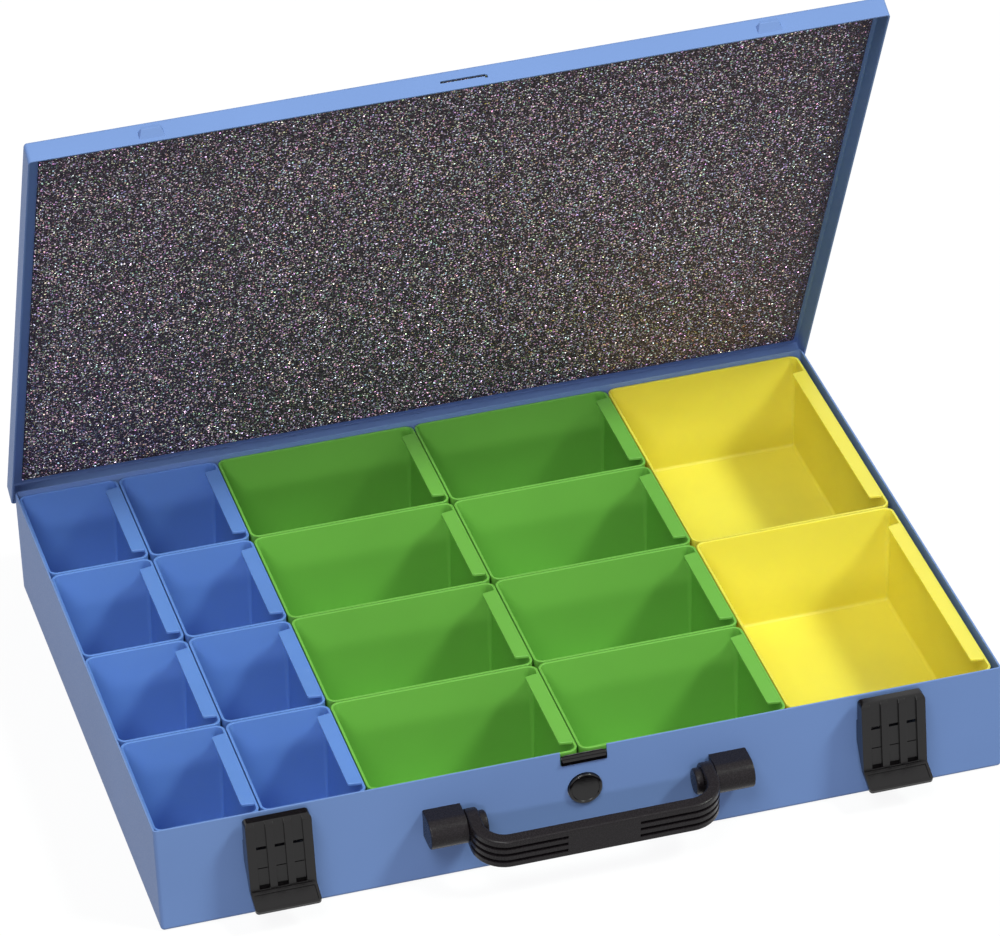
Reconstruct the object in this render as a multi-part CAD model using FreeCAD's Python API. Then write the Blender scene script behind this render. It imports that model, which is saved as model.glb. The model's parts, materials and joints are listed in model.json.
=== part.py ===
import FreeCAD, Part
import math
import os

# Assortment case: a folded steel tray and lid, with lift-out bins, two side latches,
# a push-button lock and a carrying handle.
# Millimetres. X runs to the right along the front, Y runs to the back, Z is up.
# The origin is the centre of the tray's flat underside.
# The lid stands open at lid_open_angle. Everything else is at rest.

os.makedirs("parts", exist_ok=True)

# Tray
case_length = 436.0
case_depth = 326.0
base_height = 60.0
sheet = 1.0
corner_bend = 2.0

# Lid
lid_side_gap = 1.0
lid_rim_gap = 1.0
lid_flange_depth = 12.0
lid_open_angle = 61.8
foam_thickness = 2.5
foam_left_margin = 7.0
foam_right_margin = 3.0
foam_front_margin = 4.0
foam_back_margin = 5.0

# Hinge along the back wall
rod_radius = 1.25
running_clearance = 0.05
knuckle_wall = 0.95
knuckle_gap = 0.5
knuckle_count = 11
knuckle_end_margin = 6.0
knuckle_swing_gap = 0.35
hinge_drop = 9.0
leaf_height = 18.0
leaf_thickness = 1.0

# Bins: small ones fill one cell, medium ones two, large ones two by two
small_columns = 2
medium_columns = 2
cell_rows = 4
bin_side_play = 2.0
bin_end_play = 2.0
bin_rim_drop = 2.5
bin_gap = 0.6
bin_wall = 1.3
bin_floor = 1.5
bin_taper = 2.6
bin_corner = 5.0
bin_foot_corner = 2.5
bin_floor_round = 2.0
ledge_width = 6.6
ledge_thickness = 1.3
ledge_end_gap = 6.5
large_ledge_end_gap = 9.5
ledge_end_slope = 1.4

# Side latches, with levels measured down from the tray's rim or the latch's top
latch_end_distance = 60.3
latch_width = 33.4
latch_rim_drop = 0.5
latch_depth = 9.5
latch_lean = 2.4
latch_face = 3.0
latch_cheek = 2.2
latch_top_round = 3.0
latch_nose_depth = 2.8
latch_nose_height = 2.4
latch_nose_gap = 0.4
lip_drop = 38.5
lip_reach = 10.5
lip_fall = 4.5
lip_thickness = 2.0
lip_border = 2.6
lip_recess = 0.6
cheek_wall_gap = 1.0
cheek_shoulder = 1.8
channel_count = 3
channel_width = 5.4
channel_rib = 3.9
channel_recess = 1.6
channel_foot_margin = 1.2
channel_top_margin = 3.0
foot_hole_height = 2.2
window_height = 1.6
window_drop = 15.6
step_drop = 26.5
step_height = 0.5
step_recess = 0.5
latch_pivot_depth = 3.4
latch_pivot_drop = 25.5
latch_pin_radius = 1.1
latch_ear_radius = 2.3
latch_ear_width = 3.0
latch_ear_inset = 1.4
bracket_thickness = 1.5
bracket_rise = 12.0
bracket_fall = 10.0
latch_rivet_spacing = 14.0
latch_rivet_radius = 1.6
latch_rivet_head_radius = 2.8
latch_rivet_head_height = 1.1
spring_wire = 0.5
spring_turns = 6.0
spring_play = 0.1
spring_coil_gap = 0.2

# Lid lugs that the latches hold down
lug_length = 13.5
lug_reach = 2.5
lug_drop = 5.5
lug_end_slope = 2.0

# Middle lock, with levels measured down from the tray's rim
notch_length = 24.0
notch_depth = 8.0
lock_nose_play = 0.3
lock_nose_height = 4.8
lock_nose_reach = 0.8
lock_tongue_reach = 1.9
lock_tongue_height = 1.4
lock_tongue_edge = 0.5
lock_tongue_drop = 5.7
lock_tongue_inset = 0.5
lock_slot_play = 0.35
button_drop = 23.2
button_radius = 8.75
button_play = 0.2
button_reach = 1.6
button_dish = 0.35
button_rim = 1.6
button_bevel = 0.5
strip_thickness = 0.5
strip_width = 20.0
strip_foot_level = 12.0
anchor_wall = 0.8
anchor_play = 0.25
anchor_grip = 3.0
anchor_side = 3.0
lock_rivet_spacing = 16.0
lock_rivet_radius = 1.5
lock_rivet_head_radius = 2.4
lock_rivet_head_height = 0.4

# Handle
handle_pivot_drop = 26.0
handle_wall_gap = 0.3
handle_half_length = 63.7
handle_reach = 25.0
handle_strip = 6.4
handle_height = 17.6
handle_corner = 17.0
handle_droop = 10.0
handle_groove_count = 3
handle_groove_height = 2.0
handle_groove_pitch = 4.4
handle_groove_recess = 1.6
handle_panel_length = 37.0
handle_end_gap = 0.35
boss_length = 19.3
boss_radius = 8.1
boss_chamfer = 0.8
handle_pin_radius = 2.6
handle_pin_head_radius = 6.8
handle_pin_head_height = 3.6
handle_pin_head_round = 1.2
handle_pin_depth = 12.0
boss_rivet_radius = 1.8
boss_rivet_head_radius = 3.4
boss_rivet_head_height = 0.9
boss_rivet_inset = 5.5
boss_rivet_length = 4.5

# One overrun serves all cuts, and one small share of the sheet finds edges
overrun = 5.0
edge_match_share = 0.01
bend_relief_share = 0.999

X_AXIS = FreeCAD.Vector(1, 0, 0)
Y_AXIS = FreeCAD.Vector(0, 1, 0)
Z_AXIS = FreeCAD.Vector(0, 0, 1)

# Places that follow from the sizes above
near = sheet * edge_match_share
half_length = case_length / 2
half_depth = case_depth / 2
front_wall = -half_depth
back_wall = half_depth
lid_half_length = half_length + lid_side_gap + sheet
lid_half_depth = half_depth + lid_side_gap + sheet
lid_inner_level = base_height + lid_rim_gap
lid_top = lid_inner_level + sheet
flange_edge = lid_top - lid_flange_depth
knuckle_bore = rod_radius + running_clearance
knuckle_radius = knuckle_bore + knuckle_wall
hinge_level = base_height - hinge_drop
hinge_place = back_wall + lid_side_gap + knuckle_radius
hinge_point = FreeCAD.Vector(0, hinge_place, hinge_level)
cell_columns = small_columns + 2 * medium_columns + 2
cell_length = (case_length - 2 * sheet - bin_side_play) / cell_columns
cell_depth = (case_depth - 2 * sheet - bin_end_play) / cell_rows
bin_height = base_height - sheet - bin_rim_drop
latch_offset = half_length - latch_end_distance
latch_top = base_height - latch_rim_drop
lip_start = latch_top - lip_drop
lip_length = math.hypot(lip_reach, lip_fall)
latch_pivot_height = latch_top - latch_pivot_drop
latch_axis_y = front_wall - latch_pivot_depth
bracket_bottom = latch_pivot_height - bracket_fall
bracket_top = latch_pivot_height + bracket_rise
notch_level = base_height - notch_depth
lock_nose_bottom = notch_level + lock_nose_play
lock_nose_top = lock_nose_bottom + lock_nose_height
lock_tongue_level = base_height - lock_tongue_drop
button_level = base_height - button_drop
strip_pocket = strip_thickness + anchor_play
strip_bead_radius = (strip_pocket - running_clearance) / 2
strip_bead_y = front_wall + sheet + strip_pocket / 2
handle_level = base_height - handle_pivot_drop
handle_axis_y = front_wall - handle_wall_gap - handle_height / 2


def block(x0, x1, y0, y1, z0, z1):
    """A box between two corners."""
    corner = FreeCAD.Vector(x0, y0, z0)
    return Part.makeBox(x1 - x0, y1 - y0, z1 - z0, corner)


def lean_of(radius):
    """How far the middle of a quarter bend lies in from the two lines that it joins."""
    return radius * (1 - math.sqrt(0.5))


def rounded_ring(half_x, half_y, radius, level, centre_x, centre_y):
    """A closed wire: a rectangle with round corners, at one level."""
    left = centre_x - half_x
    right = centre_x + half_x
    front = centre_y - half_y
    back = centre_y + half_y
    lean = lean_of(radius)

    def at(x, y):
        return FreeCAD.Vector(x, y, level)

    edges = [
        Part.makeLine(at(left + radius, front), at(right - radius, front)),
        Part.Arc(
            at(right - radius, front), at(right - lean, front + lean), at(right, front + radius)
        ).toShape(),
        Part.makeLine(at(right, front + radius), at(right, back - radius)),
        Part.Arc(
            at(right, back - radius), at(right - lean, back - lean), at(right - radius, back)
        ).toShape(),
        Part.makeLine(at(right - radius, back), at(left + radius, back)),
        Part.Arc(
            at(left + radius, back), at(left + lean, back - lean), at(left, back - radius)
        ).toShape(),
        Part.makeLine(at(left, back - radius), at(left, front + radius)),
        Part.Arc(
            at(left, front + radius), at(left + lean, front + lean), at(left + radius, front)
        ).toShape(),
    ]
    return Part.Wire(edges)


def side_prism(points, x0, x1):
    """A prism along X whose outline is given as (distance out from the front wall, level)."""
    corners = [FreeCAD.Vector(x0, front_wall - out, level) for out, level in points]
    face = Part.Face(Part.makePolygon(corners + corners[:1]))
    return face.extrude(X_AXIS * (x1 - x0))


def rod(radius, x0, x1, y, z):
    """A round bar along X."""
    return Part.makeCylinder(radius, x1 - x0, FreeCAD.Vector(x0, y, z), X_AXIS)


def stud(radius, x, z, y0, y1):
    """A round bar along Y."""
    return Part.makeCylinder(radius, y1 - y0, FreeCAD.Vector(x, y0, z), Y_AXIS)


def edges_where(shape, test):
    """The straight or round edges whose two ends both pass the test."""
    return [e for e in shape.Edges if all(test(v.Point) for v in e.Vertexes)]


def upright_edges(shape):
    """The vertical edges of a shape."""
    found = []
    for edge in shape.Edges:
        ends = [v.Point for v in edge.Vertexes]
        if len(ends) == 2:
            run = ends[1] - ends[0]
            if abs(run.z) > sheet and math.hypot(run.x, run.y) < near:
                found.append(edge)
    return found


def bent_box(half_x, half_y, bottom, top, bend, round_level):
    """A box with its upright edges rounded, and the edges at one level too."""
    shape = block(-half_x, half_x, -half_y, half_y, bottom, top)
    shape = shape.makeFillet(bend, upright_edges(shape))
    low = edges_where(shape, lambda p: abs(p.z - round_level) < near)
    return shape.makeFillet(bend * bend_relief_share, low)


def save(name, shape):
    """Write one named piece."""
    shape.exportStep("parts/" + name + ".step")
    print(name, "solids", len(shape.Solids), "volume", round(shape.Volume, 1), shape.isValid())


def opened(shape):
    """A lid piece, turned from its closed place to the open one."""
    turned = shape.copy()
    turned.rotate(hinge_point, X_AXIS, -lid_open_angle)
    return turned


# Tray

def knuckle_spans():
    """The X span of each hinge knuckle, with True for the tray's own."""
    whole = case_length - 2 * knuckle_end_margin
    pitch = whole / knuckle_count
    spans = []
    for number in range(knuckle_count):
        start = -whole / 2 + number * pitch
        spans.append((start + knuckle_gap / 2, start + pitch - knuckle_gap / 2, number % 2 == 0))
    return spans


def latch_centres():
    """The middle of each latch along X."""
    return {"left": -latch_offset, "right": latch_offset}


def boss_span(side):
    """The X span of a handle boss: side is -1 or 1."""
    first = side * (handle_half_length + handle_end_gap)
    last = first + side * boss_length
    return (min(first, last), max(first, last))


def latch_rivet_places():
    """Centres (x, z) of the latch rivets."""
    level = (bracket_top + latch_pivot_height + latch_ear_radius) / 2
    places = []
    for centre in latch_centres().values():
        for side in (-1, 1):
            places.append((centre + side * latch_rivet_spacing / 2, level))
    return places


def boss_rivet_places():
    """Centres (x, z) of the rivets that hold the handle bosses."""
    places = []
    for side in (-1, 1):
        face = side * (handle_half_length + handle_end_gap)
        for inset in (boss_rivet_inset, boss_length - boss_rivet_inset):
            places.append((face + side * inset, handle_level))
    return places


def lock_rivet_places():
    """Centres (x, z) of the rivets that hold the lock's foot clip."""
    level = (sheet + corner_bend + strip_foot_level) / 2
    return [(side * lock_rivet_spacing / 2, level) for side in (-1, 1)]


def make_base_shell():
    shell = bent_box(half_length, half_depth, 0, base_height, corner_bend, 0)
    inner = bent_box(
        half_length - sheet, half_depth - sheet, sheet, base_height + overrun,
        corner_bend - sheet, sheet,
    )
    shell = shell.cut(inner)
    through = (front_wall - overrun, front_wall + overrun)
    notch = block(
        -notch_length / 2, notch_length / 2, *through,
        notch_level, base_height + overrun,
    )
    shell = shell.cut(notch)
    shell = shell.cut(stud(button_radius + button_play, 0, button_level, *through))
    for x, z in latch_rivet_places():
        shell = shell.cut(stud(latch_rivet_radius, x, z, *through))
    for x, z in boss_rivet_places():
        shell = shell.cut(stud(boss_rivet_radius, x, z, *through))
    for x, z in lock_rivet_places():
        shell = shell.cut(stud(lock_rivet_radius, x, z, *through))
    return shell


def make_base_hinge_leaf():
    leaf_top = hinge_level - knuckle_radius - knuckle_swing_gap
    outer = back_wall + leaf_thickness
    leaf = block(
        knuckle_spans()[0][0], knuckle_spans()[-1][1], back_wall, outer,
        leaf_top - leaf_height, leaf_top,
    )
    for start, end, fixed in knuckle_spans():
        if fixed:
            web = block(start, end, back_wall, hinge_place - knuckle_bore,
                        leaf_top - leaf_thickness, hinge_level)
            barrel = rod(knuckle_radius, start, end, hinge_place, hinge_level)
            leaf = leaf.fuse([web, barrel])
    bore = rod(knuckle_bore, -half_length, half_length, hinge_place, hinge_level)
    return leaf.cut(bore).removeSplitter()


def make_hinge_rod():
    spans = knuckle_spans()
    return rod(rod_radius, spans[0][0], spans[-1][1], hinge_place, hinge_level)


# Lid, built closed and then turned open

def make_lug(centre):
    """A wedge pressed outwards from the lid's front flange, with a catch on its upper side."""
    top = latch_top - latch_nose_height - latch_nose_gap
    bottom = top - lug_drop
    half = lug_length / 2
    y_face = -lid_half_depth
    y_out = y_face - lug_reach

    def ring(level, y, trim):
        return [
            FreeCAD.Vector(centre - half + trim, y, level),
            FreeCAD.Vector(centre + half - trim, y, level),
        ]

    back_low = ring(bottom, y_face, 0)
    back_high = ring(top, y_face, 0)
    out_high = ring(top, y_out, lug_end_slope)
    faces = []
    for loop in (
        [back_low[0], back_low[1], back_high[1], back_high[0]],
        [back_high[0], back_high[1], out_high[1], out_high[0]],
        [back_low[0], back_low[1], out_high[1], out_high[0]],
        [back_low[0], back_high[0], out_high[0]],
        [back_low[1], back_high[1], out_high[1]],
    ):
        faces.append(Part.Face(Part.makePolygon(loop + loop[:1])))
    return Part.Solid(Part.Shell(faces))


def make_lid_shell():
    bend = corner_bend
    shell = bent_box(lid_half_length, lid_half_depth, flange_edge, lid_top, bend, lid_top)
    inner = bent_box(
        lid_half_length - sheet, lid_half_depth - sheet, flange_edge - overrun,
        lid_inner_level, bend - sheet, lid_inner_level,
    )
    shell = shell.cut(inner)
    for centre in latch_centres().values():
        shell = shell.fuse(make_lug(centre))
    slot_half = notch_length / 2 - lock_nose_play - lock_tongue_inset + lock_slot_play
    slot = block(
        -slot_half, slot_half, -lid_half_depth - overrun, -half_depth,
        lock_tongue_level - lock_slot_play,
        lock_tongue_level + lock_tongue_height + lock_slot_play,
    )
    shell = shell.cut(slot)
    relief = hinge_level + knuckle_radius + knuckle_swing_gap
    flange_inner = lid_half_depth - sheet
    gaps = []
    for start, end, fixed in knuckle_spans():
        if fixed:
            gaps.append(block(start - knuckle_gap, end + knuckle_gap,
                              flange_inner - sheet / 2, lid_half_depth + overrun,
                              flange_edge - overrun, relief))
    below = block(-half_length, half_length, flange_inner - sheet / 2,
                  lid_half_depth + overrun, flange_edge - overrun, hinge_level)
    shell = shell.cut(gaps + [below])
    barrels = []
    for start, end, fixed in knuckle_spans():
        if not fixed:
            barrels.append(rod(knuckle_radius, start, end, hinge_place, hinge_level))
    bore = rod(knuckle_bore, -half_length, half_length, hinge_place, hinge_level)
    return shell.fuse(barrels).cut(bore).removeSplitter()


def make_lid_foam():
    inner_x = lid_half_length - sheet
    inner_y = lid_half_depth - sheet
    return block(
        -inner_x + foam_left_margin, inner_x - foam_right_margin,
        -inner_y + foam_front_margin, inner_y - foam_back_margin,
        lid_inner_level - foam_thickness, lid_inner_level,
    )


# Bins

def make_bin(length, depth, end_gap):
    """An open tapered tray with a ledge inside its right wall, its corner at the origin."""
    middle_x = length / 2
    middle_y = depth / 2
    half_x = middle_x - bin_gap / 2
    half_y = middle_y - bin_gap / 2

    def tray_ring(shrink, radius, level):
        return rounded_ring(half_x - shrink, half_y - shrink, radius, level, middle_x, middle_y)

    outer = Part.makeLoft(
        [
            tray_ring(bin_taper + bin_wall / 2, bin_foot_corner, 0),
            tray_ring(bin_taper, bin_foot_corner, bin_wall),
            tray_ring(0, bin_corner, bin_height),
        ],
        True, True,
    )
    rise_share = (bin_floor + bin_floor_round) / bin_height
    shrink_at_round = bin_wall + bin_taper * (1 - rise_share)
    inner_corner = bin_corner - bin_wall
    round_lean = lean_of(bin_floor_round)
    inner = Part.makeLoft(
        [
            tray_ring(shrink_at_round + bin_floor_round, bin_foot_corner, bin_floor),
            tray_ring(shrink_at_round + round_lean, bin_foot_corner, bin_floor + round_lean),
            tray_ring(shrink_at_round, inner_corner, bin_floor + bin_floor_round),
            tray_ring(bin_wall, inner_corner, bin_height),
            tray_ring(bin_wall, inner_corner, bin_height + overrun),
        ],
        True, True,
    )
    tray = outer.cut(inner)
    wall_x = middle_x + half_x - bin_wall / 2
    edge_x = middle_x + half_x - bin_wall - ledge_width
    front_y = middle_y - half_y + bin_wall + end_gap
    back_y = middle_y + half_y - bin_wall - end_gap
    under = bin_height - ledge_thickness
    corners = [
        FreeCAD.Vector(wall_x, front_y, under),
        FreeCAD.Vector(edge_x, front_y + ledge_end_slope, under),
        FreeCAD.Vector(edge_x, back_y - ledge_end_slope, under),
        FreeCAD.Vector(wall_x, back_y, under),
    ]
    ledge = Part.Face(Part.makePolygon(corners + corners[:1])).extrude(Z_AXIS * ledge_thickness)
    return tray.fuse(ledge).removeSplitter()


def bin_places():
    """Name, cell column, cell row from the front, cells across and cells deep of each bin."""
    places = []
    count = 0
    for row in range(cell_rows):
        for column in range(small_columns):
            count += 1
            places.append(("small_bin_%d" % count, column, row, 1, 1, ledge_end_gap))
    count = 0
    for row in range(cell_rows):
        for column in range(medium_columns):
            count += 1
            start = small_columns + 2 * column
            places.append(("medium_bin_%d" % count, start, row, 2, 1, ledge_end_gap))
    start = small_columns + 2 * medium_columns
    places.append(("large_bin_front", start, 0, 2, 2, large_ledge_end_gap))
    places.append(("large_bin_rear", start, 2, 2, 2, large_ledge_end_gap))
    return places


def save_bins():
    left = -half_length + sheet
    back = back_wall - sheet
    for name, column, row, across, deep, end_gap in bin_places():
        tray = make_bin(across * cell_length, deep * cell_depth, end_gap)
        place_x = left + column * cell_length
        place_y = back - (cell_rows - row) * cell_depth
        tray.translate(FreeCAD.Vector(place_x, place_y, sheet))
        save(name, tray)


# Side latches

def latch_front(level):
    """How far out the latch's front face stands at a level: it leans outwards going down."""
    return latch_depth + latch_lean * (latch_top - level) / lip_drop


def lip_point(along, deep):
    """A point (out, level) at a distance along the lip's upper face and under that face."""
    run_out = lip_reach / lip_length
    run_down = lip_fall / lip_length
    return (
        latch_front(lip_start) + along * run_out - deep * run_down,
        lip_start - along * run_down - deep * run_out,
    )


def make_latch_lever(centre):
    half = latch_width / 2
    nose_bottom = latch_top - latch_nose_height
    inner_low = latch_front(lip_start) - latch_face
    tip = lip_point(lip_length, 0)
    tip_low = lip_point(lip_length, lip_thickness)
    underside = tip_low[1] + (tip_low[0] - inner_low) * lip_fall / lip_reach
    outline = [
        (latch_nose_depth, nose_bottom), (latch_nose_depth, latch_top),
        (latch_depth, latch_top), (latch_front(lip_start), lip_start),
        tip, tip_low,
        (inner_low, underside),
        (cheek_wall_gap, latch_pivot_height), (cheek_wall_gap, bracket_top),
        (latch_nose_depth, bracket_top + cheek_shoulder),
    ]
    lever = side_prism(outline, centre - half, centre + half)
    top_front = edges_where(
        lever,
        lambda p: abs(p.z - latch_top) < near and abs(p.y - front_wall + latch_depth) < near,
    )
    lever = lever.makeFillet(latch_top_round, top_front)
    hollow_half = half - latch_cheek
    hollow = side_prism(
        [
            (-overrun, nose_bottom), (latch_front(nose_bottom) - latch_face, nose_bottom),
            (inner_low, lip_start), (-overrun, lip_start),
        ],
        centre - hollow_half, centre + hollow_half,
    )
    lever = lever.cut(hollow)
    channel_foot = lip_start + channel_foot_margin
    channel_head = latch_top - channel_top_margin
    window_level = latch_top - window_drop
    step_level = latch_top - step_drop
    through = latch_depth + latch_lean
    cuts = [
        (channel_recess, channel_foot, channel_head),
        (through, window_level, window_level + window_height),
        (through, channel_foot, channel_foot + foot_hole_height),
        (channel_recess + step_recess, step_level, step_level + step_height),
    ]
    for number in range(channel_count):
        shift = number - (channel_count - 1) / 2
        middle = centre + shift * (channel_width + channel_rib)
        for deep, low, high in cuts:
            cutter = [
                (latch_front(low) - deep, low), (latch_front(high) - deep, high),
                (through + overrun, high), (through + overrun, low),
            ]
            lever = lever.cut(side_prism(
                cutter, middle - channel_width / 2, middle + channel_width / 2,
            ))
    recess = side_prism(
        [
            lip_point(lip_border, lip_recess), lip_point(lip_border, -overrun),
            lip_point(lip_length - lip_border, -overrun),
            lip_point(lip_length - lip_border, lip_recess),
        ],
        centre - half + lip_border, centre + half - lip_border,
    )
    lever = lever.cut(recess)
    pin_hole = rod(
        latch_pin_radius + running_clearance, centre - latch_width, centre + latch_width,
        latch_axis_y, latch_pivot_height,
    )
    return lever.cut(pin_hole)


def make_latch_bracket(centre):
    half = latch_width / 2 - latch_cheek - latch_ear_inset
    plate = side_prism(
        [(0, bracket_bottom), (0, bracket_top), (bracket_thickness, bracket_top),
         (bracket_thickness, bracket_bottom)],
        centre - half, centre + half,
    )
    pieces = []
    for side in (-1, 1):
        outer = centre + side * half
        inner = centre + side * (half - latch_ear_width)
        x0 = min(outer, inner)
        x1 = max(outer, inner)
        pieces.append(rod(latch_ear_radius, x0, x1, latch_axis_y, latch_pivot_height))
        pieces.append(side_prism(
            [
                (0, latch_pivot_height - latch_ear_radius),
                (0, latch_pivot_height + latch_ear_radius),
                (latch_pivot_depth, latch_pivot_height + latch_ear_radius),
                (latch_pivot_depth, latch_pivot_height - latch_ear_radius),
            ],
            x0, x1,
        ))
    bracket = plate.fuse(pieces)
    bracket = bracket.cut(rod(latch_pin_radius, centre - half, centre + half, latch_axis_y,
                              latch_pivot_height))
    for x, z in latch_rivet_places():
        bracket = bracket.cut(stud(latch_rivet_radius, x, z, front_wall - overrun, front_wall))
    return bracket.removeSplitter()


def make_latch_pin(centre):
    half = latch_width / 2 - running_clearance
    return rod(latch_pin_radius, centre - half, centre + half, latch_axis_y, latch_pivot_height)


def make_latch_spring(centre):
    """A coil round the pin."""
    coil_radius = latch_pin_radius + spring_play + spring_wire / 2
    pitch = spring_wire + spring_coil_gap
    length = spring_turns * pitch
    helix = Part.makeHelix(pitch, length, coil_radius)
    section = Part.Wire(Part.makeCircle(
        spring_wire / 2, FreeCAD.Vector(coil_radius, 0, 0), Y_AXIS
    ))
    coil = Part.Wire(helix.Edges).makePipeShell([section], True, False)
    coil.rotate(FreeCAD.Vector(0, 0, 0), Y_AXIS, 90)
    coil.translate(FreeCAD.Vector(centre - length / 2, latch_axis_y, latch_pivot_height))
    return coil


def rivet(x, z, radius, head_radius, out, inside, head_height):
    """A rivet through the front wall: its heads stand out and inside by the given distances."""
    shank = stud(radius, x, z, front_wall - out, front_wall + inside)
    outer = Part.makeCone(
        head_radius, radius, head_height, FreeCAD.Vector(x, front_wall - out, z), -Y_AXIS
    )
    inner = Part.makeCone(
        head_radius, radius, head_height, FreeCAD.Vector(x, front_wall + inside, z), Y_AXIS
    )
    return shank.fuse([outer, inner]).removeSplitter()


def make_latch_rivets():
    return Part.makeCompound([
        rivet(x, z, latch_rivet_radius, latch_rivet_head_radius, bracket_thickness, sheet,
              latch_rivet_head_height)
        for x, z in latch_rivet_places()
    ])


# Middle lock

def make_lock_button():
    back = front_wall + sheet
    front = front_wall - button_reach
    button = stud(button_radius, 0, button_level, front, back)
    rim_edge = [e for e in button.Edges if abs(e.BoundBox.YMax - front) < near]
    button = button.makeChamfer(button_bevel, rim_edge)
    dish = stud(button_radius - button_rim, 0, button_level, front - overrun, front + button_dish)
    return button.cut(dish)


def make_lock_nose():
    half = notch_length / 2 - lock_nose_play
    body = side_prism(
        [
            (-sheet, lock_nose_bottom), (-sheet, lock_nose_top), (0, lock_nose_top),
            (lock_nose_reach, lock_nose_top - lock_nose_reach),
            (lock_nose_reach, lock_nose_bottom),
        ],
        -half, half,
    )
    tongue = side_prism(
        [
            (0, lock_tongue_level), (0, lock_tongue_level + lock_tongue_height),
            (lock_nose_reach, lock_tongue_level + lock_tongue_height),
            (lock_tongue_reach, lock_tongue_level + lock_tongue_edge),
            (lock_tongue_reach, lock_tongue_level),
        ],
        -half + lock_tongue_inset, half - lock_tongue_inset,
    )
    return body.fuse(tongue).removeSplitter()


def make_lock_strip():
    """A flat spring strip whose foot is rolled into a bead, the line that it turns about."""
    back = front_wall + sheet
    half = strip_width / 2
    strip = block(-half, half, back, back + strip_thickness, strip_foot_level, lock_nose_top)
    bead = rod(strip_bead_radius, -half, half, strip_bead_y, strip_foot_level)
    return strip.fuse(bead).removeSplitter()


def make_lock_anchor():
    """A clip on the inside of the front wall that cups the strip's foot."""
    back = front_wall + sheet
    slot_half = strip_width / 2 + anchor_play
    half = slot_half + anchor_side
    clip_top = strip_foot_level + anchor_grip
    clip = block(-half, half, back, back + strip_pocket + anchor_wall,
                 sheet + corner_bend, clip_top)
    room = block(-slot_half, slot_half, back, back + strip_pocket,
                 strip_foot_level - strip_bead_radius - anchor_play, clip_top + overrun)
    clip = clip.cut(room)
    for x, z in lock_rivet_places():
        clip = clip.cut(stud(lock_rivet_radius, x, z, front_wall - overrun, front_wall + overrun))
    return clip


def make_lock_rivets():
    inside = sheet + strip_pocket + anchor_wall
    return Part.makeCompound([
        rivet(x, z, lock_rivet_radius, lock_rivet_head_radius, 0, inside, lock_rivet_head_height)
        for x, z in lock_rivet_places()
    ])


# Handle

def u_band(outer_half, reach, corner, thickness, low, high):
    """A U-shaped band in plan, open towards the wall, between two levels."""
    back = handle_axis_y + handle_height

    def plan(half, front, radius):
        lean = lean_of(radius)
        left_bend = Part.Arc(
            FreeCAD.Vector(-half, front + radius, low),
            FreeCAD.Vector(-half + lean, front + lean, low),
            FreeCAD.Vector(-half + radius, front, low),
        ).toShape()
        right_bend = Part.Arc(
            FreeCAD.Vector(half - radius, front, low),
            FreeCAD.Vector(half - lean, front + lean, low),
            FreeCAD.Vector(half, front + radius, low),
        ).toShape()
        wire = Part.Wire([
            Part.makeLine(FreeCAD.Vector(-half, back, low),
                          FreeCAD.Vector(-half, front + radius, low)),
            left_bend,
            Part.makeLine(FreeCAD.Vector(-half + radius, front, low),
                          FreeCAD.Vector(half - radius, front, low)),
            right_bend,
            Part.makeLine(FreeCAD.Vector(half, front + radius, low),
                          FreeCAD.Vector(half, back, low)),
            Part.makeLine(FreeCAD.Vector(half, back, low), FreeCAD.Vector(-half, back, low)),
        ])
        return Part.Face(wire).extrude(Z_AXIS * (high - low))

    outer = plan(outer_half, handle_axis_y - reach, corner)
    inner = plan(outer_half - thickness, handle_axis_y - reach + thickness, corner - thickness)
    return outer.cut(inner)


def make_handle_grip():
    half = handle_height / 2
    low = handle_level - half
    high = handle_level + half
    reach = handle_half_length + overrun
    front = handle_axis_y - handle_reach - 2 * overrun
    band = u_band(handle_half_length, handle_reach, handle_corner, handle_strip, low, high)
    arm = block(-reach, reach, front, handle_axis_y, low, high)
    end = rod(half, -reach, reach, handle_axis_y, handle_level)
    band = band.common(arm.fuse(end))
    panel = block(-handle_panel_length / 2, handle_panel_length / 2, front, handle_axis_y,
                  low, high)
    arm_ends = block(-2 * reach, 2 * reach, handle_axis_y - half, front_wall + overrun, low, high)
    for number in range(handle_groove_count):
        shift = number - (handle_groove_count - 1) / 2
        middle = handle_level + shift * handle_groove_pitch
        skin = u_band(
            handle_half_length + overrun, handle_reach + overrun, handle_corner + overrun,
            overrun + handle_groove_recess,
            middle - handle_groove_height / 2, middle + handle_groove_height / 2,
        )
        band = band.cut(skin.cut([panel, arm_ends]))
    band = band.cut(rod(handle_pin_radius + running_clearance, -reach, reach, handle_axis_y,
                        handle_level))
    band.rotate(FreeCAD.Vector(0, handle_axis_y, handle_level), X_AXIS, handle_droop)
    return band


def make_boss(side):
    x0, x1 = boss_span(side)
    body = rod(boss_radius, x0, x1, handle_axis_y, handle_level).fuse(
        block(x0, x1, handle_axis_y, front_wall, handle_level - boss_radius,
              handle_level + boss_radius)
    ).removeSplitter()
    far = x1 if side > 0 else x0
    far_edges = [e for e in body.Edges
                 if abs(e.BoundBox.XMin - far) < near and abs(e.BoundBox.XMax - far) < near
                 and e.BoundBox.YMin < front_wall - near]
    body = body.makeChamfer(boss_chamfer, far_edges)
    face = x0 if side > 0 else x1
    inner = face + side * handle_pin_depth
    body = body.cut(rod(handle_pin_radius, min(face, inner), max(face, inner), handle_axis_y,
                        handle_level))
    for x, z in boss_rivet_places():
        body = body.cut(stud(boss_rivet_radius, x, z, front_wall - boss_rivet_length, front_wall))
    return body


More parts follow.
